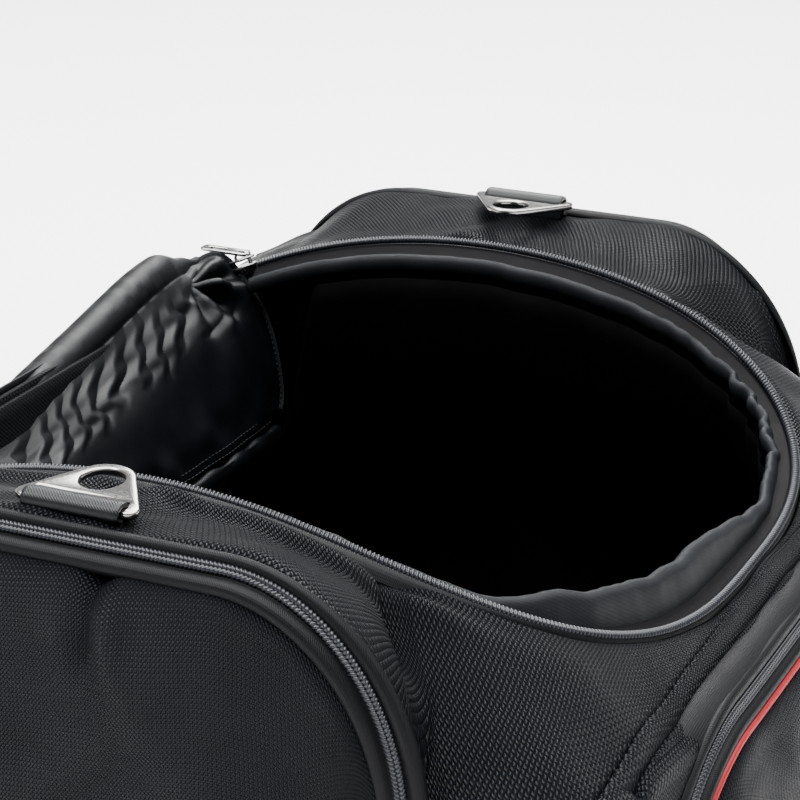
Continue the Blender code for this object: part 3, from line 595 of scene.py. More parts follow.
def make_rim(rim, inward):
    path = lifted(rim, arch_z(rim[:, 0]))
    row = dict(path=even(path + [0.0, 0.0, 0.0010], COIL_PITCH / 6.0), up=UP, half_width=0.0021,
               half_height=0.0018, sides=10, ribs=(COIL_PITCH, 0.55, 0.0, 0.0004))
    cord = dict(path=even(path - [0.0, 0.0, 0.0010], 0.002), up=UP, half_width=0.0016,
                half_height=0.0008, sides=6)
    tubes("main_zip_coil_row", [row, cord], "coil", replaces=("main_zip_coil",))

    along = lengths_of(rim)
    reach, lift = hem_reach(rim)
    profile = ((0.0014, -0.0008), (0.0030, -0.0018), (0.0050, -0.0034), (0.0070, -0.0048),
               (0.0088, -0.0058))
    rows = []
    for d, h in profile:
        spot = rim + inward * d
        ease = (d / 0.0088) * np.maximum(lift + 0.0045, 0.0) * 0.3 - 0.0006
        rows.append(lifted(spot, arch_z(spot[:, 0]) + h + ease))
    sheet("main_zip_inner_tape", np.stack(rows), 0.0008, "inner_tape",
          replaces=("main_zip_tape",))

    corner = smooth(0.05, 0.12, rim[:, 1]) * smooth(0.05, 0.12, rim[:, 0])
    crinkle = (waves(along, 0.0, 0.011, 11) * 0.0018 * (0.08 + corner)
               + waves(along, 0.0, 0.034, 12) * 0.0010)
    slim = smooth(0.0, 0.08, rim[:, 1])
    rows = []
    turns = np.linspace(-0.55, 1.25, 17) * math.pi
    start = 0.0066
    for k, angle in enumerate(turns):
        part = k / (len(turns) - 1.0)
        thick = 0.0030 - 0.0012 * slim + 0.0014 * smooth(0.12, 0.17, rim[:, 0]) * (1.0 - slim)
        middle = reach - thick
        if angle < 0.5 * math.pi:
            share = (angle + 0.55 * math.pi) / (1.05 * math.pi)
            d = start + (middle - start) * share
            h = -0.0048 + (lift + thick + 0.0048 - 0.0004) * smooth(0.0, 1.0, share)
        else:
            over = angle - 0.5 * math.pi
            d = middle + thick * np.sin(over * 1.25)
            h = lift + thick * np.cos(over * 1.25) - 0.0030 * (over / 2.4) ** 2
        d = d + crinkle * smooth(0.0, 0.5, part)
        pucker = waves(along, d * 3.0, 0.009, 13) * 0.0006 * (0.12 + corner)
        spot = rim + inward * d[:, None]
        rows.append(lifted(spot, arch_z(spot[:, 0]) + h + pucker - 0.0020))
    sheet("lining_hem", np.stack(rows), 0.0009, "hem")
    return rows[-1]


def make_inner_bag(hem_edge):
    """The loose lining bag inside: from the hem down along the walls to the floor. Its cloth is a darker,
    duller copy of the dark lining satin: painted shade for the inside of the bag.
    """
    floor_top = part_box("lining_floor")[1].z
    count = 300
    walls = whole(resample(body_half(0.0075), count))[:-1]
    hem = hem_edge[:, :2]
    back = np.array([[SEAM_X + 0.004, 0.137], [SEAM_X + 0.004, 0.0], [SEAM_X + 0.004, -0.137]])
    loop = np.concatenate([hem, back])
    middle = len(hem) // 2
    loop = np.concatenate([loop[middle:], loop[:middle], loop[middle:middle + 1]])
    mouth = resample(loop, 2 * count)[:-1]
    mouth = np.roll(mouth, count, 0)
    behind = smooth(SEAM_X + 0.002, SEAM_X + 0.022, mouth[:, 0])
    rim_z = arch_z(mouth[:, 0]) - 0.0150
    top = (SEAM_Z - 0.004) * (1.0 - behind) + rim_z * behind
    around = lengths_of(walls)
    rows = []
    for part in np.linspace(0.0, 1.0, 34):
        share = smooth(0.45, 1.0, part)
        flat = walls * (1.0 - share) + mouth * share
        z = floor_top + 0.0004 + (top - floor_top) * part
        crease = waves(around, 0.4 * z, 0.045, 21) * 0.0022 * np.sin(math.pi * part) ** 0.7
        flat = flat + unit(np.array([0.03, 0.0]) - flat) * (np.maximum(crease + 0.0015, 0.0) * 1.2)[:, None]
        rows.append(lifted(flat, z))
    sheet("inner_bag", np.stack(rows)[:, ::-1], 0.0006, "black", closed=True,
          replaces=("front_lining", "right_lining", "back_lining", "left_lining"))
    outline = rows[0][:, :2]
    rows = []
    for share in np.linspace(0.0, 0.999, 24):
        flat = outline * (1.0 - share) + np.array([0.03, 0.0]) * share
        z = floor_top + waves(flat[:, 0], flat[:, 1], 0.08, 22) * 0.0006 * share + 0.0002
        rows.append(lifted(flat, z))
    sheet("inner_bag_floor", np.stack(rows), 0.0008, "black", closed=True,
          replaces=("lining_floor",))


# Walls -------------------------------------------------------------------------------------------

def make_walls():
    half = body_half()
    low = BASE_CLOTH + 0.0010

    def wall(name, plan, top, seed):
        along = lengths_of(plan)
        rows = []
        for part in np.linspace(0.0, 1.0, 60):
            z = low + (top - low) * part
            sway = waves(along, z, 0.09, seed) * 0.0022 * math.sin(math.pi * part) ** 0.6
            sway = sway + 0.0012 * np.exp(-(z - low) / 0.012) - 0.0006
            flat = plan - plan_normals(plan) * np.minimum(sway, 0.0006)[:, None]
            rows.append(lifted(flat, z))
        sheet(name + "_cloth", np.stack(rows), 0.0022, "ballistic", replaces=(name,))

    plan = whole(resample(half, 120, 0.0, FRONT_SHARE - SEAM_SHARE))
    wall("front_panel", plan, edge_height(plan[:, 0]) - 0.0095, 31)
    for side, sign in SIDES:
        plan = resample(half, 200, FRONT_SHARE + SEAM_SHARE, BACK_SHARE - SEAM_SHARE) * [1.0, sign]
        if sign < 0:
            plan = plan[::-1]
        wall(side + "_end_panel", plan, edge_height(plan[:, 0]) - 0.0085, 33 + sign)
    right = resample(half, 120, BACK_SHARE + SEAM_SHARE, 1.0)
    plan = np.concatenate([right, right[::-1][1:] * [1.0, -1.0]])
    wall("back_panel", plan, np.full(len(plan), RIDGE_Z - 0.0080), 37)

    # Piped seams up the four corners and round the base.
    parts = []
    for share, top in ((FRONT_SHARE, 0.258), (BACK_SHARE, 0.288)):
        spot = resample(half, 1000)[int(share * 1000)]
        for sign in (-1, 1):
            z = np.linspace(0.004, top, 60)
            line = np.stack([np.full(60, spot[0]), np.full(60, spot[1] * sign), z], 1)
            parts.append(dict(path=line, up=(1.0, 0.0, 0.0), half_width=0.0016, half_height=0.0016, sides=8))
    loop = whole(resample(half, 200))
    line = lifted(loop, BASE_CLOTH + 0.0008)
    parts.append(dict(path=line, up=UP, half_width=0.0018, half_height=0.0018, sides=8))
    tubes("corner_welts", parts, "tape")

    outline = whole(resample(half, 200))[:-1]
    rows = []
    for share in np.linspace(0.0, 0.999, 20):
        flat = outline * (1.0 - share) + np.array([0.03, 0.0]) * share
        rows.append(lifted(flat, BASE_CLOTH))
    sheet("base_cloth", np.stack(rows)[:, ::-1], 0.0030, "ballistic", closed=True,
          replaces=("base_panel",))


# Pockets -----------------------------------------------------------------------------------------

ZIP_TILT_TOP = {"left": math.radians(50.0), "right": math.radians(74.0)}
ZIP_TILT_LEG = math.radians(6.0)


def arch_path(half_width, corner_x, corner_z, top, low):
    """Arched path as (across, height), from one foot to the other."""
    angle = np.linspace(0.0, 0.5 * math.pi, 40)
    across = half_width - corner_x + corner_x * np.sin(angle)
    high = top - corner_z * (1.0 - np.cos(angle))
    half = np.concatenate([[[0.0, top]], np.stack([across, high], 1), [[half_width, low]]])
    path = np.concatenate([half[::-1] * [-1.0, 1.0], half[1:]])
    return resample(path, 500)


def make_zip(name, to_world, path, tilt_top, tilt_leg, inner_band, outer_band):
    """A closed coil zip on its tape. to_world takes across, height and depth off the wall."""
    away = plan_normals(path)
    level = np.clip(away[:, 1], 0.0, 1.0)
    tilt = tilt_leg + (tilt_top - tilt_leg) * level

    def spot(a, lift):
        # a runs across the tape, away from the arch; lift stands off its face.
        flat = path + away * (a * np.cos(tilt) + lift * np.sin(tilt))[:, None]
        depth = -a * np.sin(tilt) + lift * np.cos(tilt)
        return to_world(flat[:, 0], flat[:, 1], depth)

    rows = []
    profile = ((-1.0, -0.0016), (-0.96, 0.0006), (-0.85, 0.0017), (-0.68, 0.0019), (-0.52, 0.0010),
               (-0.42, -0.0004), (-0.30, -0.0008), (0.0, -0.0008), (0.30, -0.0008), (0.42, -0.0004),
               (0.52, 0.0008), (0.68, 0.0015), (0.85, 0.0013), (0.96, 0.0003), (1.0, -0.0016))
    for share, lift in profile:
        band = inner_band if share < 0 else outer_band + (inner_band - outer_band) * (1.0 - level)
        rows.append(spot(share * band, np.full(len(path), lift)))
    sheet(name + "_tape_cloth", np.stack(rows), 0.0008, "tape", replaces=(name + "_tape",))

    parts = []
    centre = spot(np.zeros(len(path)), np.full(len(path), 0.0006))
    above = spot(np.zeros(len(path)), np.full(len(path), 0.0016))
    for offset, shift in ((-0.0010, 0.0), (0.0010, 0.5)):
        line = spot(np.full(len(path), offset), np.full(len(path), 0.0004))
        fine = even(line, COIL_PITCH / 6.0)
        share = np.linspace(0.0, 1.0, len(fine))
        up = np.stack([np.interp(share, np.linspace(0, 1, len(path)), (above - centre)[:, k])
                       for k in range(3)], 1)
        parts.append(dict(path=fine, up=up, half_width=0.0014, half_height=0.0012, sides=8,
                          ribs=(COIL_PITCH, 0.50, shift, 0.0006 if offset > 0 else -0.0006)))
    tubes(name + "_teeth", parts, "coil", replaces=(name + "_coil",))
    return spot


def pocket_bowl(u, v, bulge):
    """How far a filled pocket stands out."""
    side = np.clip(1.0 - np.abs(u) ** 3.2, 0.0, 1.0) ** 0.72
    return bulge * side * np.sin(math.pi * np.clip(v, 0.0, 1.0)) ** 0.52


def make_end_pockets():
    path = arch_path(POCKET_HALF_WIDTH, POCKET_CORNER_X, POCKET_CORNER_Z, HEIGHT + POCKET_RISE,
                     POCKET_BOTTOM + 0.020)
    for side, sign in SIDES:
        y_zip = BODY_HALF_LENGTH + 0.0036

        def to_world(across, high, depth, sign=sign, y_zip=y_zip):
            return np.stack([across * -sign, sign * (y_zip + depth), high], -1)

        make_zip(side + "_pocket_zip", to_world, path, ZIP_TILT_TOP[side], ZIP_TILT_LEG, 0.0088, 0.0056)

        half_width = POCKET_HALF_WIDTH - 0.0078
        u, v = np.meshgrid(np.sin(0.5 * math.pi * np.linspace(-1, 1, 150)),
                           0.5 * (1.0 - np.cos(math.pi * np.linspace(0.0, 1.0, 150))))
        across = u * half_width
        top = np.minimum(pocket_z(across / half_width * POCKET_HALF_WIDTH) - 0.0062, HEIGHT)
        high = POCKET_BOTTOM + (top - POCKET_BOTTOM) * v
        depth = 0.0040 + pocket_bowl(u, v, POCKET_BULGE - 0.0015)
        x = across * -sign
        near_top = smooth(0.55, 0.97, v) * (1.0 - smooth(0.985, 1.0, v))
        edge = smooth(0.0, 0.04, v) * (1.0 - smooth(0.965, 1.0, v)) * (1.0 - np.abs(u) ** 12)
        soft = waves(x, high, 0.085, 40 + sign) * 0.0026 + waves(x, high, 0.035, 44 + sign) * 0.0008
        pinch_x = 0.020
        fan = np.exp(-((x - pinch_x) / (0.004 + 0.030 * (1.0 - v))) ** 2) * smooth(0.80, 1.0, v)
        ridge = np.exp(-((x - pinch_x - 0.030 * (1.0 - v) * 3.0) / 0.0055) ** 2) * smooth(0.86, 0.97, v)
        depth = depth + edge * soft - 0.0062 * fan + 0.0042 * ridge * near_top
        high = high - 0.0042 * bump(x - pinch_x, 0.006) * smooth(0.93, 1.0, v)
        points = np.stack([x, sign * (BODY_HALF_LENGTH + 0.0030 + depth), high], -1)
        made = sheet(side + "_pocket_cloth", points, 0.0016, "pocket",
                     replaces=(side + "_pocket_panel",))


def front_wall_x(y):
    ratio = np.minimum(np.abs(y) / BODY_HALF_LENGTH, 1.0)
    share = (1.0 - ratio ** BODY_POWER) ** (1.0 / BODY_POWER)
    return BODY_STRAIGHT_X + (BODY_FRONT_X - BODY_STRAIGHT_X) * share


def make_front_pocket():
    path = arch_path(FRONT_HALF_WIDTH, FRONT_CORNER, FRONT_CORNER, HEIGHT - FRONT_DROP,
                     FRONT_BOTTOM + 0.020)

    def to_world(across, high, depth):
        return np.stack([front_wall_x(across) + 0.0034 + depth, across, high], -1)

    spot = make_zip("front_pocket_zip", to_world, path, math.radians(26.0), math.radians(4.0),
                    0.0070, 0.0070)
    line = even(spot(np.full(len(path), -0.0086), np.full(len(path), 0.0010)), 0.0015)
    piping = dict(path=line, up=(1.0, 0.0, 0.02), half_width=0.0015, half_height=0.0015, sides=12)
    tubes("front_piping", [piping], "piping", replaces=("front_pocket_piping",))

    half_width = FRONT_HALF_WIDTH - 0.0098
    u, v = np.meshgrid(np.sin(0.5 * math.pi * np.linspace(-1, 1, 150)),
                       0.5 * (1.0 - np.cos(math.pi * np.linspace(0.0, 1.0, 120))))
    y = u * half_width
    over = np.clip((np.abs(y) - (FRONT_HALF_WIDTH - FRONT_CORNER)) / (FRONT_CORNER - 0.0098), 0.0, 1.0)
    top = HEIGHT - FRONT_DROP - 0.0098 - FRONT_CORNER * (1.0 - np.sqrt(1.0 - over ** 2))
    z = FRONT_BOTTOM + (top - FRONT_BOTTOM) * v
    edge = smooth(0.0, 0.05, v) * (1.0 - smooth(0.96, 1.0, v)) * (1.0 - np.abs(u) ** 12)
    soft = waves(y, z, 0.09, 51) * 0.0022 + waves(y, z, 0.035, 52) * 0.0007
    depth = 0.0040 + pocket_bowl(u, v, FRONT_BULGE - 0.001) + soft * edge
    points = np.stack([front_wall_x(y) + 0.0030 + depth, y, z], -1)
    made = sheet("front_pocket_cloth", points, 0.0016, "pocket",
                 replaces=("front_pocket_panel",))

    # The smooth flap that shades the zip, under the top's last seam.
    y = np.linspace(-0.128, 0.128, 220)
    rows = []
    for share in np.linspace(0.0, 1.0, 12):
        x = front_wall_x(y) - 0.0100 + 0.0128 * share
        z = arch_z(FRONT_GAP_X) + 0.0004 - 0.0030 * share ** 2 + 0.0012 * math.sin(math.pi * share)
        z = z + waves(y, x, 0.05, 53) * 0.0004
        drop = np.clip((np.abs(y) - (FRONT_HALF_WIDTH - FRONT_CORNER)) / FRONT_CORNER, 0.0, 1.0)
        z = z - FRONT_CORNER * (1.0 - np.sqrt(1.0 - drop ** 2)) * (0.35 + 0.5 * share)
        rows.append(np.stack([x, y, z], -1))
    sheet("front_zip_flap", np.stack(rows), 0.0012, "tape", slot="lining_satin")


# Fold and lid ------------------------------------------------------------------------------------

CREST_RADIUS = 0.0095
# Places along the bag, and how far the crest's outline lies below the bag's top there.
RIDGE_LINE = np.array([(-0.147, -0.0195), (-0.128, -0.0200), (-0.100, -0.0280), (-0.055, -0.0400),
                       (-0.028, -0.0400), (0.004, -0.0330), (0.042, -0.0255), (0.072, -0.0190),
                       (0.090, -0.0153), (0.108, -0.0135), (0.128, -0.0150), (0.147, -0.0195)])


def ridge_height(y):
    """The fold's crest: it climbs from a slack middle to its two held ends."""
    fine = np.linspace(-0.147, 0.147, 99)
    z = np.interp(fine, RIDGE_LINE[:, 0], RIDGE_LINE[:, 1])
    return HEIGHT - CREST_RADIUS + np.interp(y, fine, softened(z, 8))


def band_path():
    """Side edge of the fold, from its crest past the zip's slider to the hinge seam."""
    points = np.array([(-0.1440, 0.1440, HEIGHT - 0.0250), (-0.1390, 0.1480, HEIGHT - 0.0215),
                       (-0.1330, 0.1500, HEIGHT - 0.0235), (-0.1240, 0.1505, HEIGHT - 0.0345),
                       (-0.1150, 0.1505, HEIGHT - 0.0460), (-0.1095, 0.1500, HEIGHT - 0.0610),
                       (-0.1065, 0.1495, HEIGHT - 0.0755), (-0.1044, 0.1480, HEIGHT - 0.0880),
                       (-0.1042, 0.1450, HEIGHT - 0.0935)])
    return resample(softened(resample(points, 60), 8), 100)


def make_fold():
    band = band_path()[::-1]
    y_values = np.linspace(-0.1465, 0.1465, 420)
    rise = np.linspace(0.0, 1.0, 101)
    columns = []
    for y in y_values:
        weight = float(smooth(0.085, 0.1465, np.abs(y))) ** 1.6
        crest = float(ridge_height(np.array(y)))
        bow = 0.0045 * np.sin(math.pi * rise)
        x = SEAM_X + (RIDGE_X + 0.0030 - SEAM_X) * rise + bow
        z = SEAM_Z + (crest - SEAM_Z) * rise + bow
        x = x * (1.0 - weight) + band[:, 0] * weight
        z = z * (1.0 - weight) + band[:, 2] * weight
        reach = 1.0 - weight + weight * (band[:, 1] / 0.1465)
        columns.append(np.stack([x, y * reach, z], -1))
    grid = np.stack(columns, 1)
    y = np.broadcast_to(y_values[None], grid.shape[:2])
    part = np.broadcast_to(rise[:, None], grid.shape[:2])
    normals = grid_normals(grid)
    normals = normals * np.sign(normals[50, 200, 0])
    # Gathers that hang from the crest in a zigzag.
    sway = 0.40 * waves(y, part * 0.08, 0.045, 60) + 0.08 * np.sin(part * 46.0)
    gather = np.abs(((y + 0.05 * (1.0 - part)) / 0.0170 + sway) % 1.0 - 0.5)
    start = 0.56 + 0.07 * waves(y, 0.0, 0.03, 61)
    near_crest = smooth(0.0, 0.12, part - start) * (1.0 - 0.65 * smooth(0.78, 0.95, part))
    push = (gather * 2.0 - 0.5) * 0.0024 * near_crest
    # Deep folds that fan out from the held corner at the crest.
    corner_y, corner_part = 0.118, 0.90
    dy = (np.abs(y) - corner_y) / 0.030
    dp = (corner_part - part) / 0.30
    angle = np.arctan2(dp, dy)
    radius = np.sqrt(dy ** 2 + dp ** 2)
    fan = np.sin(angle * 9.0 + 0.6) * bump(angle - 0.9, 0.85)
    push = push + fan * 0.0072 * smooth(0.05, 0.5, radius) * np.exp(-(radius / 1.5) ** 2)
    # Slack ripples low down, along the hinge seam, and large soft swells.
    low = bump(part - 0.10, 0.12)
    push = push + waves(y, part * 0.05, 0.018, 62) * 0.0022 * low
    push = push + waves(y, part * 0.09, 0.060, 63) * 0.0022 * np.sin(math.pi * part)
    push = push * (1.0 - 0.85 * smooth(0.139, 0.1465, np.abs(y)))
    grid = grid + normals * push[..., None]
    # Over the crest and a little way down behind it.
    last = grid[-1]
    radius = CREST_RADIUS * (1.0 - 0.80 * smooth(0.112, 0.1465, np.abs(y_values)))
    extra = []
    for turn in np.linspace(0.15, 2.75, 12):
        x = last[:, 0] - radius * (1.0 - math.cos(turn)) * 0.95
        z = last[:, 2] + radius * math.sin(turn)
        extra.append(np.stack([x, last[:, 1], z], -1))
    grid = np.concatenate([grid, np.stack(extra)])
    sheet("fold_lining", grid, 0.0010, "satin",
          replaces=("back_fold_lining", "lid_fold_roll"))

    for side, sign in SIDES:
        line = band_path() * [1.0, sign, 1.0]
        flat = np.array([0.0, 1.0, 0.0])
        _, across, _ = frames_along(line, flat)
        tubes(side + "_fold_binding", [dict(path=line, up=flat, half_width=0.0027, half_height=0.0010,
                                            sides=16)], "hem")
        for face, name in ((-1.0, "_binding_stitches_near"), (1.0, "_binding_stitches_far")):
            row = line + across * 0.0012 + [0.0, face * 0.0010, 0.0]
            thread(side + name, row, flat * face, pitch=0.0026, length=0.0018)

    # The hinge seam: two rows of stitches over a turned edge, and the roll of lining below it.
    y = np.linspace(-0.137, 0.137, 260)
    wobble = waves(y, 0.0, 0.030, 64) * 0.0010
    for number, part in enumerate((0.020, 0.060)):
        x = SEAM_X + (RIDGE_X - SEAM_X) * part + 0.0030
        line = np.stack([x + wobble, y, np.full(len(y), SEAM_Z + 0.0700 * part)], 1)
        thread("hinge_stitches_" + "ab"[number], line, np.array([0.85, 0.0, 0.5]),
               pitch=0.0030, length=0.0022)
    rows = []
    for share in np.linspace(0.0, 1.0, 12):
        angle = -0.5 * math.pi + share * 1.25 * math.pi
        thick = 0.0020 + 0.0005 * waves(y, share * 0.01, 0.020, 65)
        x = SEAM_X + 0.0035 + wobble + thick * np.cos(angle)
        z = SEAM_Z - 0.0050 + thick * np.sin(angle) * 1.6
        rows.append(np.stack([x, y, z], -1))
    sheet("hinge_seam_roll", np.stack(rows), 0.0008, "satin", replaces=("hinge_seam_tape",),
          slot="zip_tape")


def lid_z(x):
    join_x = -0.090
    share = np.clip((join_x - x) / (join_x - RIDGE_X), 0.0, 1.0)
    return arch_z(np.maximum(x, join_x)) * (1.0 - share) + RIDGE_Z * share


def opened(points):
    """Turns points of the closed lid about the fold to where the open lid hangs."""
    pivot = np.array([RIDGE_X, 0.0, RIDGE_Z])
    turn = np.array(Matrix.Rotation(-LID_OPEN, 3, 'Y'))
    return pivot + (points - pivot) @ turn.T


def lid_edge(inset, lift, count=400):
    half = rim_half(inset, LID_START_X)
    half = resample(half, count // 2)
    tuck = np.clip((-0.098 - half[:, 0]) / 0.014, 0.0, 1.0)
    limit = RIM_HALF_WIDTH - inset - tuck * max(0.0092 - inset, 0.0) - tuck * 0.0022
    half[:, 1] = np.minimum(half[:, 1], limit)
    edge = whole(half)
    return opened(lifted(edge, lid_z(edge[:, 0]) + lift))


def lid_cloth(name, inset, lift, thickness, skin, wave, seed, **more):
    half = rim_half(inset, LID_START_X)
    xs = LID_START_X + (half[0, 0] - 0.0001 - LID_START_X) * (1.0 - (1.0 - np.linspace(0, 1, 130)) ** 1.7)
    width = np.interp(xs, half[::-1, 0], half[::-1, 1])
    width = np.maximum(width - np.clip((-0.098 - xs) / 0.014, 0.0, 1.0) * 0.0022, 0.0040)
    share = np.sin(0.5 * math.pi * np.linspace(-1.0, 1.0, 120))
    y = share[:, None] * width[None]
    x = np.broadcast_to(xs[None], y.shape)
    edge = (1.0 - np.abs(share)[:, None] ** 8) * smooth(0.0, 0.02, x - LID_START_X)
    sway = waves(x, y, 0.075, seed) + waves(x, y, 0.022, seed + 1) * 0.3
    z = lid_z(x) + lift + sway * wave * edge
    points = opened(np.stack([x, y, z], -1))
    return sheet(name, points[:, ::-1], thickness, skin, "lid", **more)


def make_lid():
    inner = COIL_RADIUS * 2 + 0.0008
    coil = lid_edge(inner, 0.0)[70:-70]
    up = opened(np.array(UP)) - opened(np.zeros(3))
    tubes("lid_coil_row", [dict(path=even(coil, COIL_PITCH / 6.0), up=up, half_width=0.0020,
                                half_height=0.0016, sides=8, ribs=(COIL_PITCH, 0.42, 0.5, 0.0004))],
          "coil", "lid", replaces=("lid_zip_coil",))
    rows = [lid_edge(inner + 0.0016 + 0.0092 * share, 0.0006 - 0.0006 * share) for share in
            np.linspace(0.0, 1.0, 6)]
    sheet("lid_tape_cloth", np.stack(rows), 0.0009, "tape", "lid", replaces=("lid_zip_tape",))
    lid_cloth("lid_outer_cloth", 0.0145, 0.0014, 0.0020, "ballistic", 0.0016, 71,
              replaces=("lid_panel",))
    lid_cloth("lid_lining_cloth", 0.0185, -0.0034, 0.0010, "satin", 0.0018, 75,
              replaces=("lid_lining",))
    line = lid_edge(0.0115, -0.0002)
    across = np.cross(unit(np.gradient(line, axis=0)), up)
    rows = []
    for share, lift in ((-1.0, 0.0006), (-0.8, -0.0006), (0.0, -0.0012), (0.8, -0.0006), (1.0, 0.0006)):
        rows.append(line + across * (share * 0.0042) + up * lift)
    sheet("lid_binding_cloth", np.stack(rows), 0.0010, "hem", "lid", replaces=("lid_seam_binding",))
    thread("lid_binding_stitches", line - up * 0.0014, -up, body="lid", pitch=0.0032,
           length=0.0023)


# Hardware ----------------------------------------------------------------------------------------

def plate(outline, holes, thickness, edge):
    """A flat metal plate with rounded edges as a mesh, from closed outlines of (x, y) points."""
    curve = bpy.data.curves.new("plate", 'CURVE')
    curve.dimensions = '2D'
    curve.fill_mode = 'BOTH'
    curve.extrude = thickness / 2.0 - edge
    curve.bevel_depth = edge
    curve.bevel_resolution = 3
    curve.offset = -edge
    for points in [outline] + list(holes):
        spline = curve.splines.new('POLY')
        spline.points.add(len(points) - 1)
        for point, (x, y) in zip(spline.points, points):
            point.co = (x, y, 0.0, 1.0)
        spline.use_cyclic_u = True
    holder = bpy.data.objects.new("plate", curve)
    bpy.context.scene.collection.objects.link(holder)
    bpy.context.view_layer.update()
    mesh = bpy.data.meshes.new_from_object(holder.evaluated_get(bpy.context.evaluated_depsgraph_get()))
    bpy.data.objects.remove(holder)
    bpy.data.curves.remove(curve)
    made = bmesh.new()
    made.from_mesh(mesh)
    bmesh.ops.remove_doubles(made, verts=made.verts, dist=0.000005)
    bmesh.ops.recalc_face_normals(made, faces=made.faces)
    made.to_mesh(mesh)
    made.free()
    return mesh


def arc(x, y, radius, first, last, steps=20):
    angle = np.radians(np.linspace(first, last, steps + 1))
    return list(zip(x + radius * np.cos(angle), y + radius * np.sin(angle)))


def rounded(length, width, radius, x=0.0):
    """Rounded rectangle from x to x + length, centred across."""
    half = width / 2.0 - radius
    corners = ((x + length - radius, -half), (x + length - radius, half), (x + radius, half),
               (x + radius, -half))
    points = []
    for (corner_x, corner_y), first in zip(corners, (-90, 0, 90, 180)):
        points += arc(corner_x, corner_y, radius, first, first + 90, 8)
    return points


def place(name, mesh, matrix, skin, body, **more):
    mesh.transform(matrix)
    return show(name, mesh, skin, body, sharp=50, **more)


def make_rings():
    for side, sign in SIDES:
        outline = (arc(-0.0203, 0.0018, 0.0036, 145.0, 270.0) + arc(0.0203, 0.0018, 0.0036, 270.0, 395.0)
                   + arc(0.0, RING_DEPTH - 0.0118, 0.0118, 35.0, 145.0, 40))
        slot = [(-0.0186, 0.0019), (0.0186, 0.0019), (0.0180, 0.0066), (-0.0180, 0.0066)]
        hole = arc(0.0, RING_DEPTH - 0.0118, 0.0080, 0.0, 352.5, 47)
        mesh = plate(outline, (slot[::-1], hole[::-1]), 0.0028, 0.0009)
        turn = Matrix.Rotation(math.radians(4.0), 4, 'X')
        if sign > 0:
            turn = Matrix.Rotation(math.pi, 4, 'Z') @ turn
        place(side + "_strap_ring", mesh, Matrix.Translation((0.0, RING_Y * sign, RING_Z)) @ turn,
              "nickel", side + "_ring", replaces=(side + "_ring",))

        # The webbing goes round the bar and down to the edge seam beside the zip.
        radius = 0.0046
        angle = np.radians(np.linspace(-80.0, 215.0, 34))
        y = radius * 1.05 * np.cos(angle)
        z = radius * 0.86 * np.sin(angle)
        loop = np.stack([y, z], 1)
        tail = np.array([[0.0062, -0.0062], [0.0045, -0.0052]])
        end = np.array([[-0.0052, -0.0058], [-0.0046, -0.0072]])
        section = resample(np.concatenate([tail, loop, end]), 60)
        xs = 0.0190 * np.sin(0.5 * math.pi * np.linspace(-1.0, 1.0, 41))
        rows = []
        for x in xs:
            near_edge = smooth(0.0178, 0.0190, abs(x))
            ring = section * (1.0 - 0.10 * near_edge)
            rows.append(np.stack([np.full(len(ring), x), RING_Y * sign + ring[:, 0] * sign,
                                  RING_Z + ring[:, 1]], 1))
        grid = np.stack(rows)
        if sign > 0:
            grid = grid[::-1]
        sheet(side + "_webbing_tab", grid, 0.0015, "webbing", replaces=(side + "_ring_tab",))
        xs = np.linspace(-0.0170, 0.0170, 60)
        line = np.stack([xs, np.full(60, (RING_Y + 0.0056) * sign), np.full(60, RING_Z - 0.0045)], 1)
        thread(side + "_tab_stitches", line, np.array([0.0, sign * 0.7, 0.7]),
               pitch=0.0026, length=0.0019, lift=0.0006)


def slider_mesh(height):
    """A zip slider: two shaped plates, the post between them and the bridge that holds the pull."""
    outline = (arc(0.0035, 0.0, 0.0026, -90, 90, 10) + [(0.0010, 0.0042), (-0.0050, 0.0042)]
               + arc(-0.0052, 0.0032, 0.0010, 90, 180, 4) + arc(-0.0052, -0.0032, 0.0010, 180, 270, 4)
               + [(0.0010, -0.0042)])
    joined = bmesh.new()
    for z in (-height / 2.0 + 0.0006, height / 2.0 - 0.0006):
        mesh = plate(outline, (), 0.0012, 0.0004)
        mesh.transform(Matrix.Translation((0.0, 0.0, z)))
        joined.from_mesh(mesh)
    bridge_path = np.array([(-0.0042, 0, 0.0), (-0.0040, 0, 0.0012), (-0.0028, 0, 0.0021),
                            (0.0, 0, 0.0023), (0.0026, 0, 0.0021), (0.0038, 0, 0.0012), (0.0040, 0, 0.0)])
    bridge_path = resample(bridge_path, 24) + [0.0, 0.0, height / 2.0]
    verts, faces, _ = tube_data(bridge_path, (0.0, 1.0, 0.0),
                                0.0006, 0.0012, 10)
    post_path = np.array([(0.0030, 0.0, -height / 2.0), (0.0030, 0.0, 0.0), (0.0030, 0.0, height / 2.0)])
    more, more_faces, _ = tube_data(post_path, (1.0, 0.0, 0.0),
                                    0.0011, 0.0011, 10)
    for points, sides in ((verts, faces), (more, more_faces)):
        made = [joined.verts.new(p) for p in points]
        for side in sides:
            joined.faces.new([made[i] for i in side])
    bmesh.ops.recalc_face_normals(joined, faces=joined.faces)
    mesh = bpy.data.meshes.new("slider")
    joined.to_mesh(mesh)
    joined.free()
    return mesh


def pull_mesh():
    """A flat pull tab, its eye round the slider's bridge, with a long window near its end."""
    outline = rounded(0.0250, 0.0070, 0.0020, -0.0022)
    eye = rounded(0.0042, 0.0036, 0.0010, -0.0010)
    window = rounded(0.0100, 0.0028, 0.0013, 0.0090)
    return plate(outline, (eye[::-1], window[::-1]), 0.0015, 0.0004)


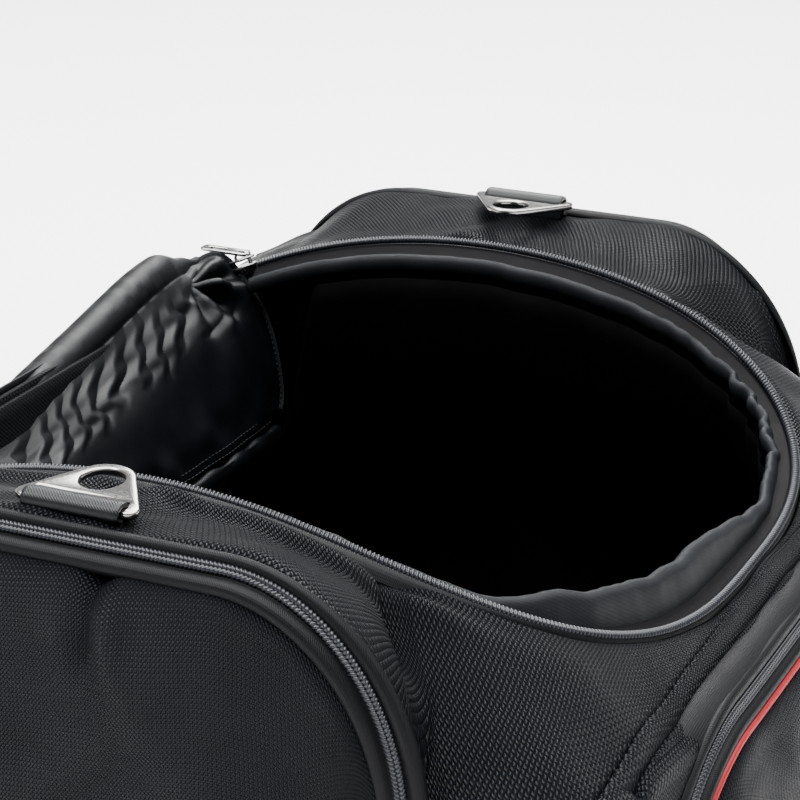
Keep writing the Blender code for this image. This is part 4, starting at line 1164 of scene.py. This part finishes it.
def make_hardware():
    for side, sign in SIDES:
        low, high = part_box(side + "_main_slider")
        centre = (low + high) / 2.0
        tilt = Matrix.Rotation(-math.atan2(-centre.x, ARCH_RADIUS), 4, 'Y')
        place(side + "_main_slider_body", slider_mesh(0.0048), Matrix.Translation(centre) @ tilt,
              "nickel", "bag", replaces=(side + "_main_slider",))
        hinge = Vector((centre.x, RIM_HALF_WIDTH * sign, centre.z + 0.0044))
        place(side + "_main_pull_tab", pull_mesh(),
              Matrix.Translation(hinge) @ Matrix.Rotation(math.pi, 4, 'Z'), "nickel",
              side + "_main_pull", replaces=(side + "_main_pull",))

        low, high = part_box(side + "_pocket_slider")
        centre = (low + high) / 2.0
        stand = Matrix(((0, 1, 0), (0, 0, 1), (1, 0, 0))).to_4x4()
        if sign < 0:
            stand = Matrix.Rotation(math.pi, 4, 'Z') @ stand
        place(side + "_pocket_slider_body", slider_mesh(0.0044), Matrix.Translation(centre) @ stand,
              "nickel", side + "_pocket_slider", replaces=(side + "_pocket_slider",))
        low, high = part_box(side + "_pocket_pull")
        hinge = Vector(((low.x + high.x) / 2.0, (low.y + high.y) / 2.0, high.z + 0.0010))
        hang = Matrix.Rotation(0.5 * math.pi, 4, 'Y') @ Matrix.Rotation(0.5 * math.pi, 4, 'X')
        place(side + "_pocket_pull_tab", pull_mesh(), Matrix.Translation(hinge) @ hang, "nickel",
              side + "_pocket_pull", replaces=(side + "_pocket_pull",))

    low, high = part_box("front_pocket_slider")
    centre = (low + high) / 2.0
    lie = Matrix(((0, 0, 1), (-1, 0, 0), (0, -1, 0))).to_4x4()
    place("front_pocket_slider_body", slider_mesh(0.0044), Matrix.Translation(centre) @ lie, "nickel",
          "front_pocket_slider", replaces=("front_pocket_slider",))
    hinge = centre + Vector((0.0030, 0.0, 0.0))
    place("front_pocket_pull_tab", pull_mesh(),
          Matrix.Translation(hinge) @ Matrix.Rotation(math.radians(22.0), 4, 'Y'), "nickel",
          "front_pocket_pull", replaces=("front_pocket_pull",))


# Stage -------------------------------------------------------------------------------------------

def make_stage():
    floor_mesh = bpy.data.meshes.new("floor")
    floor_mesh.from_pydata([(-6, -6, -0.0005), (6, -6, -0.0005), (6, 6, -0.0005), (-6, 6, -0.0005)], [],
                           [(0, 1, 2, 3)])
    floor = bpy.data.objects.new("floor", floor_mesh)
    bpy.context.scene.collection.objects.link(floor)
    pale = Nodes("floor_pale")
    pale.set(Roughness=0.9, Specular_IOR_Level=0.2)
    floor_mesh.materials.append(pale.finish(pale.mix(pale.noise(3.0), (0.88, 0.88, 0.88),
                                                     (0.90, 0.90, 0.90))))
    world = bpy.data.worlds.new("studio")
    world.use_nodes = True
    world.node_tree.nodes["Background"].inputs["Color"].default_value = (0.96, 0.98, 1.0, 1.0)
    world.node_tree.nodes["Background"].inputs["Strength"].default_value = 0.60
    bpy.context.scene.world = world
    for name, spot, aim, size, power in (
            ("overhead", (0.0, 0.4, 5.0), (0.0, 0.4, 0.0), 7.0, 2000.0),
            ("key", (-0.9, -0.9, 1.9), (0.0, 0.0, 0.30), 0.6, 34.0),
            ("back", (-0.6, 1.6, 1.6), (0.0, 0.0, 0.33), 0.8, 46.0)):
        light = bpy.data.lights.new(name, 'AREA')
        light.size = size
        light.energy = power
        lamp = bpy.data.objects.new(name, light)
        lamp.location = spot
        lamp.rotation_euler = (Vector(aim) - Vector(spot)).to_track_quat('-Z', 'Y').to_euler()
        bpy.context.scene.collection.objects.link(lamp)
    camera = bpy.data.cameras.new("camera")
    camera.lens = 117.0
    camera.sensor_width = 36.0
    holder = bpy.data.objects.new("camera", camera)
    azimuth, elevation = math.radians(25.0637), math.radians(20.926)
    back = Vector((math.sin(azimuth) * math.cos(elevation), -math.cos(azimuth) * math.cos(elevation),
                   math.sin(elevation)))
    holder.location = (0.4405, -0.8817, HEIGHT + 0.3551)
    holder.rotation_mode = 'QUATERNION'
    holder.rotation_quaternion = back.to_track_quat('Z', 'Y')
    bpy.context.scene.collection.objects.link(holder)
    bpy.context.scene.camera = holder


def main():
    make_materials()
    rim, inward = make_top()
    make_inner_bag(make_rim(rim, inward))
    make_walls()
    make_end_pockets()
    make_front_pocket()
    make_fold()
    make_lid()
    make_rings()
    make_hardware()
    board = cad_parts["base_board"]
    board.data.materials.clear()
    board.data.materials.append(MATERIALS["board"])
    make_stage()


main()
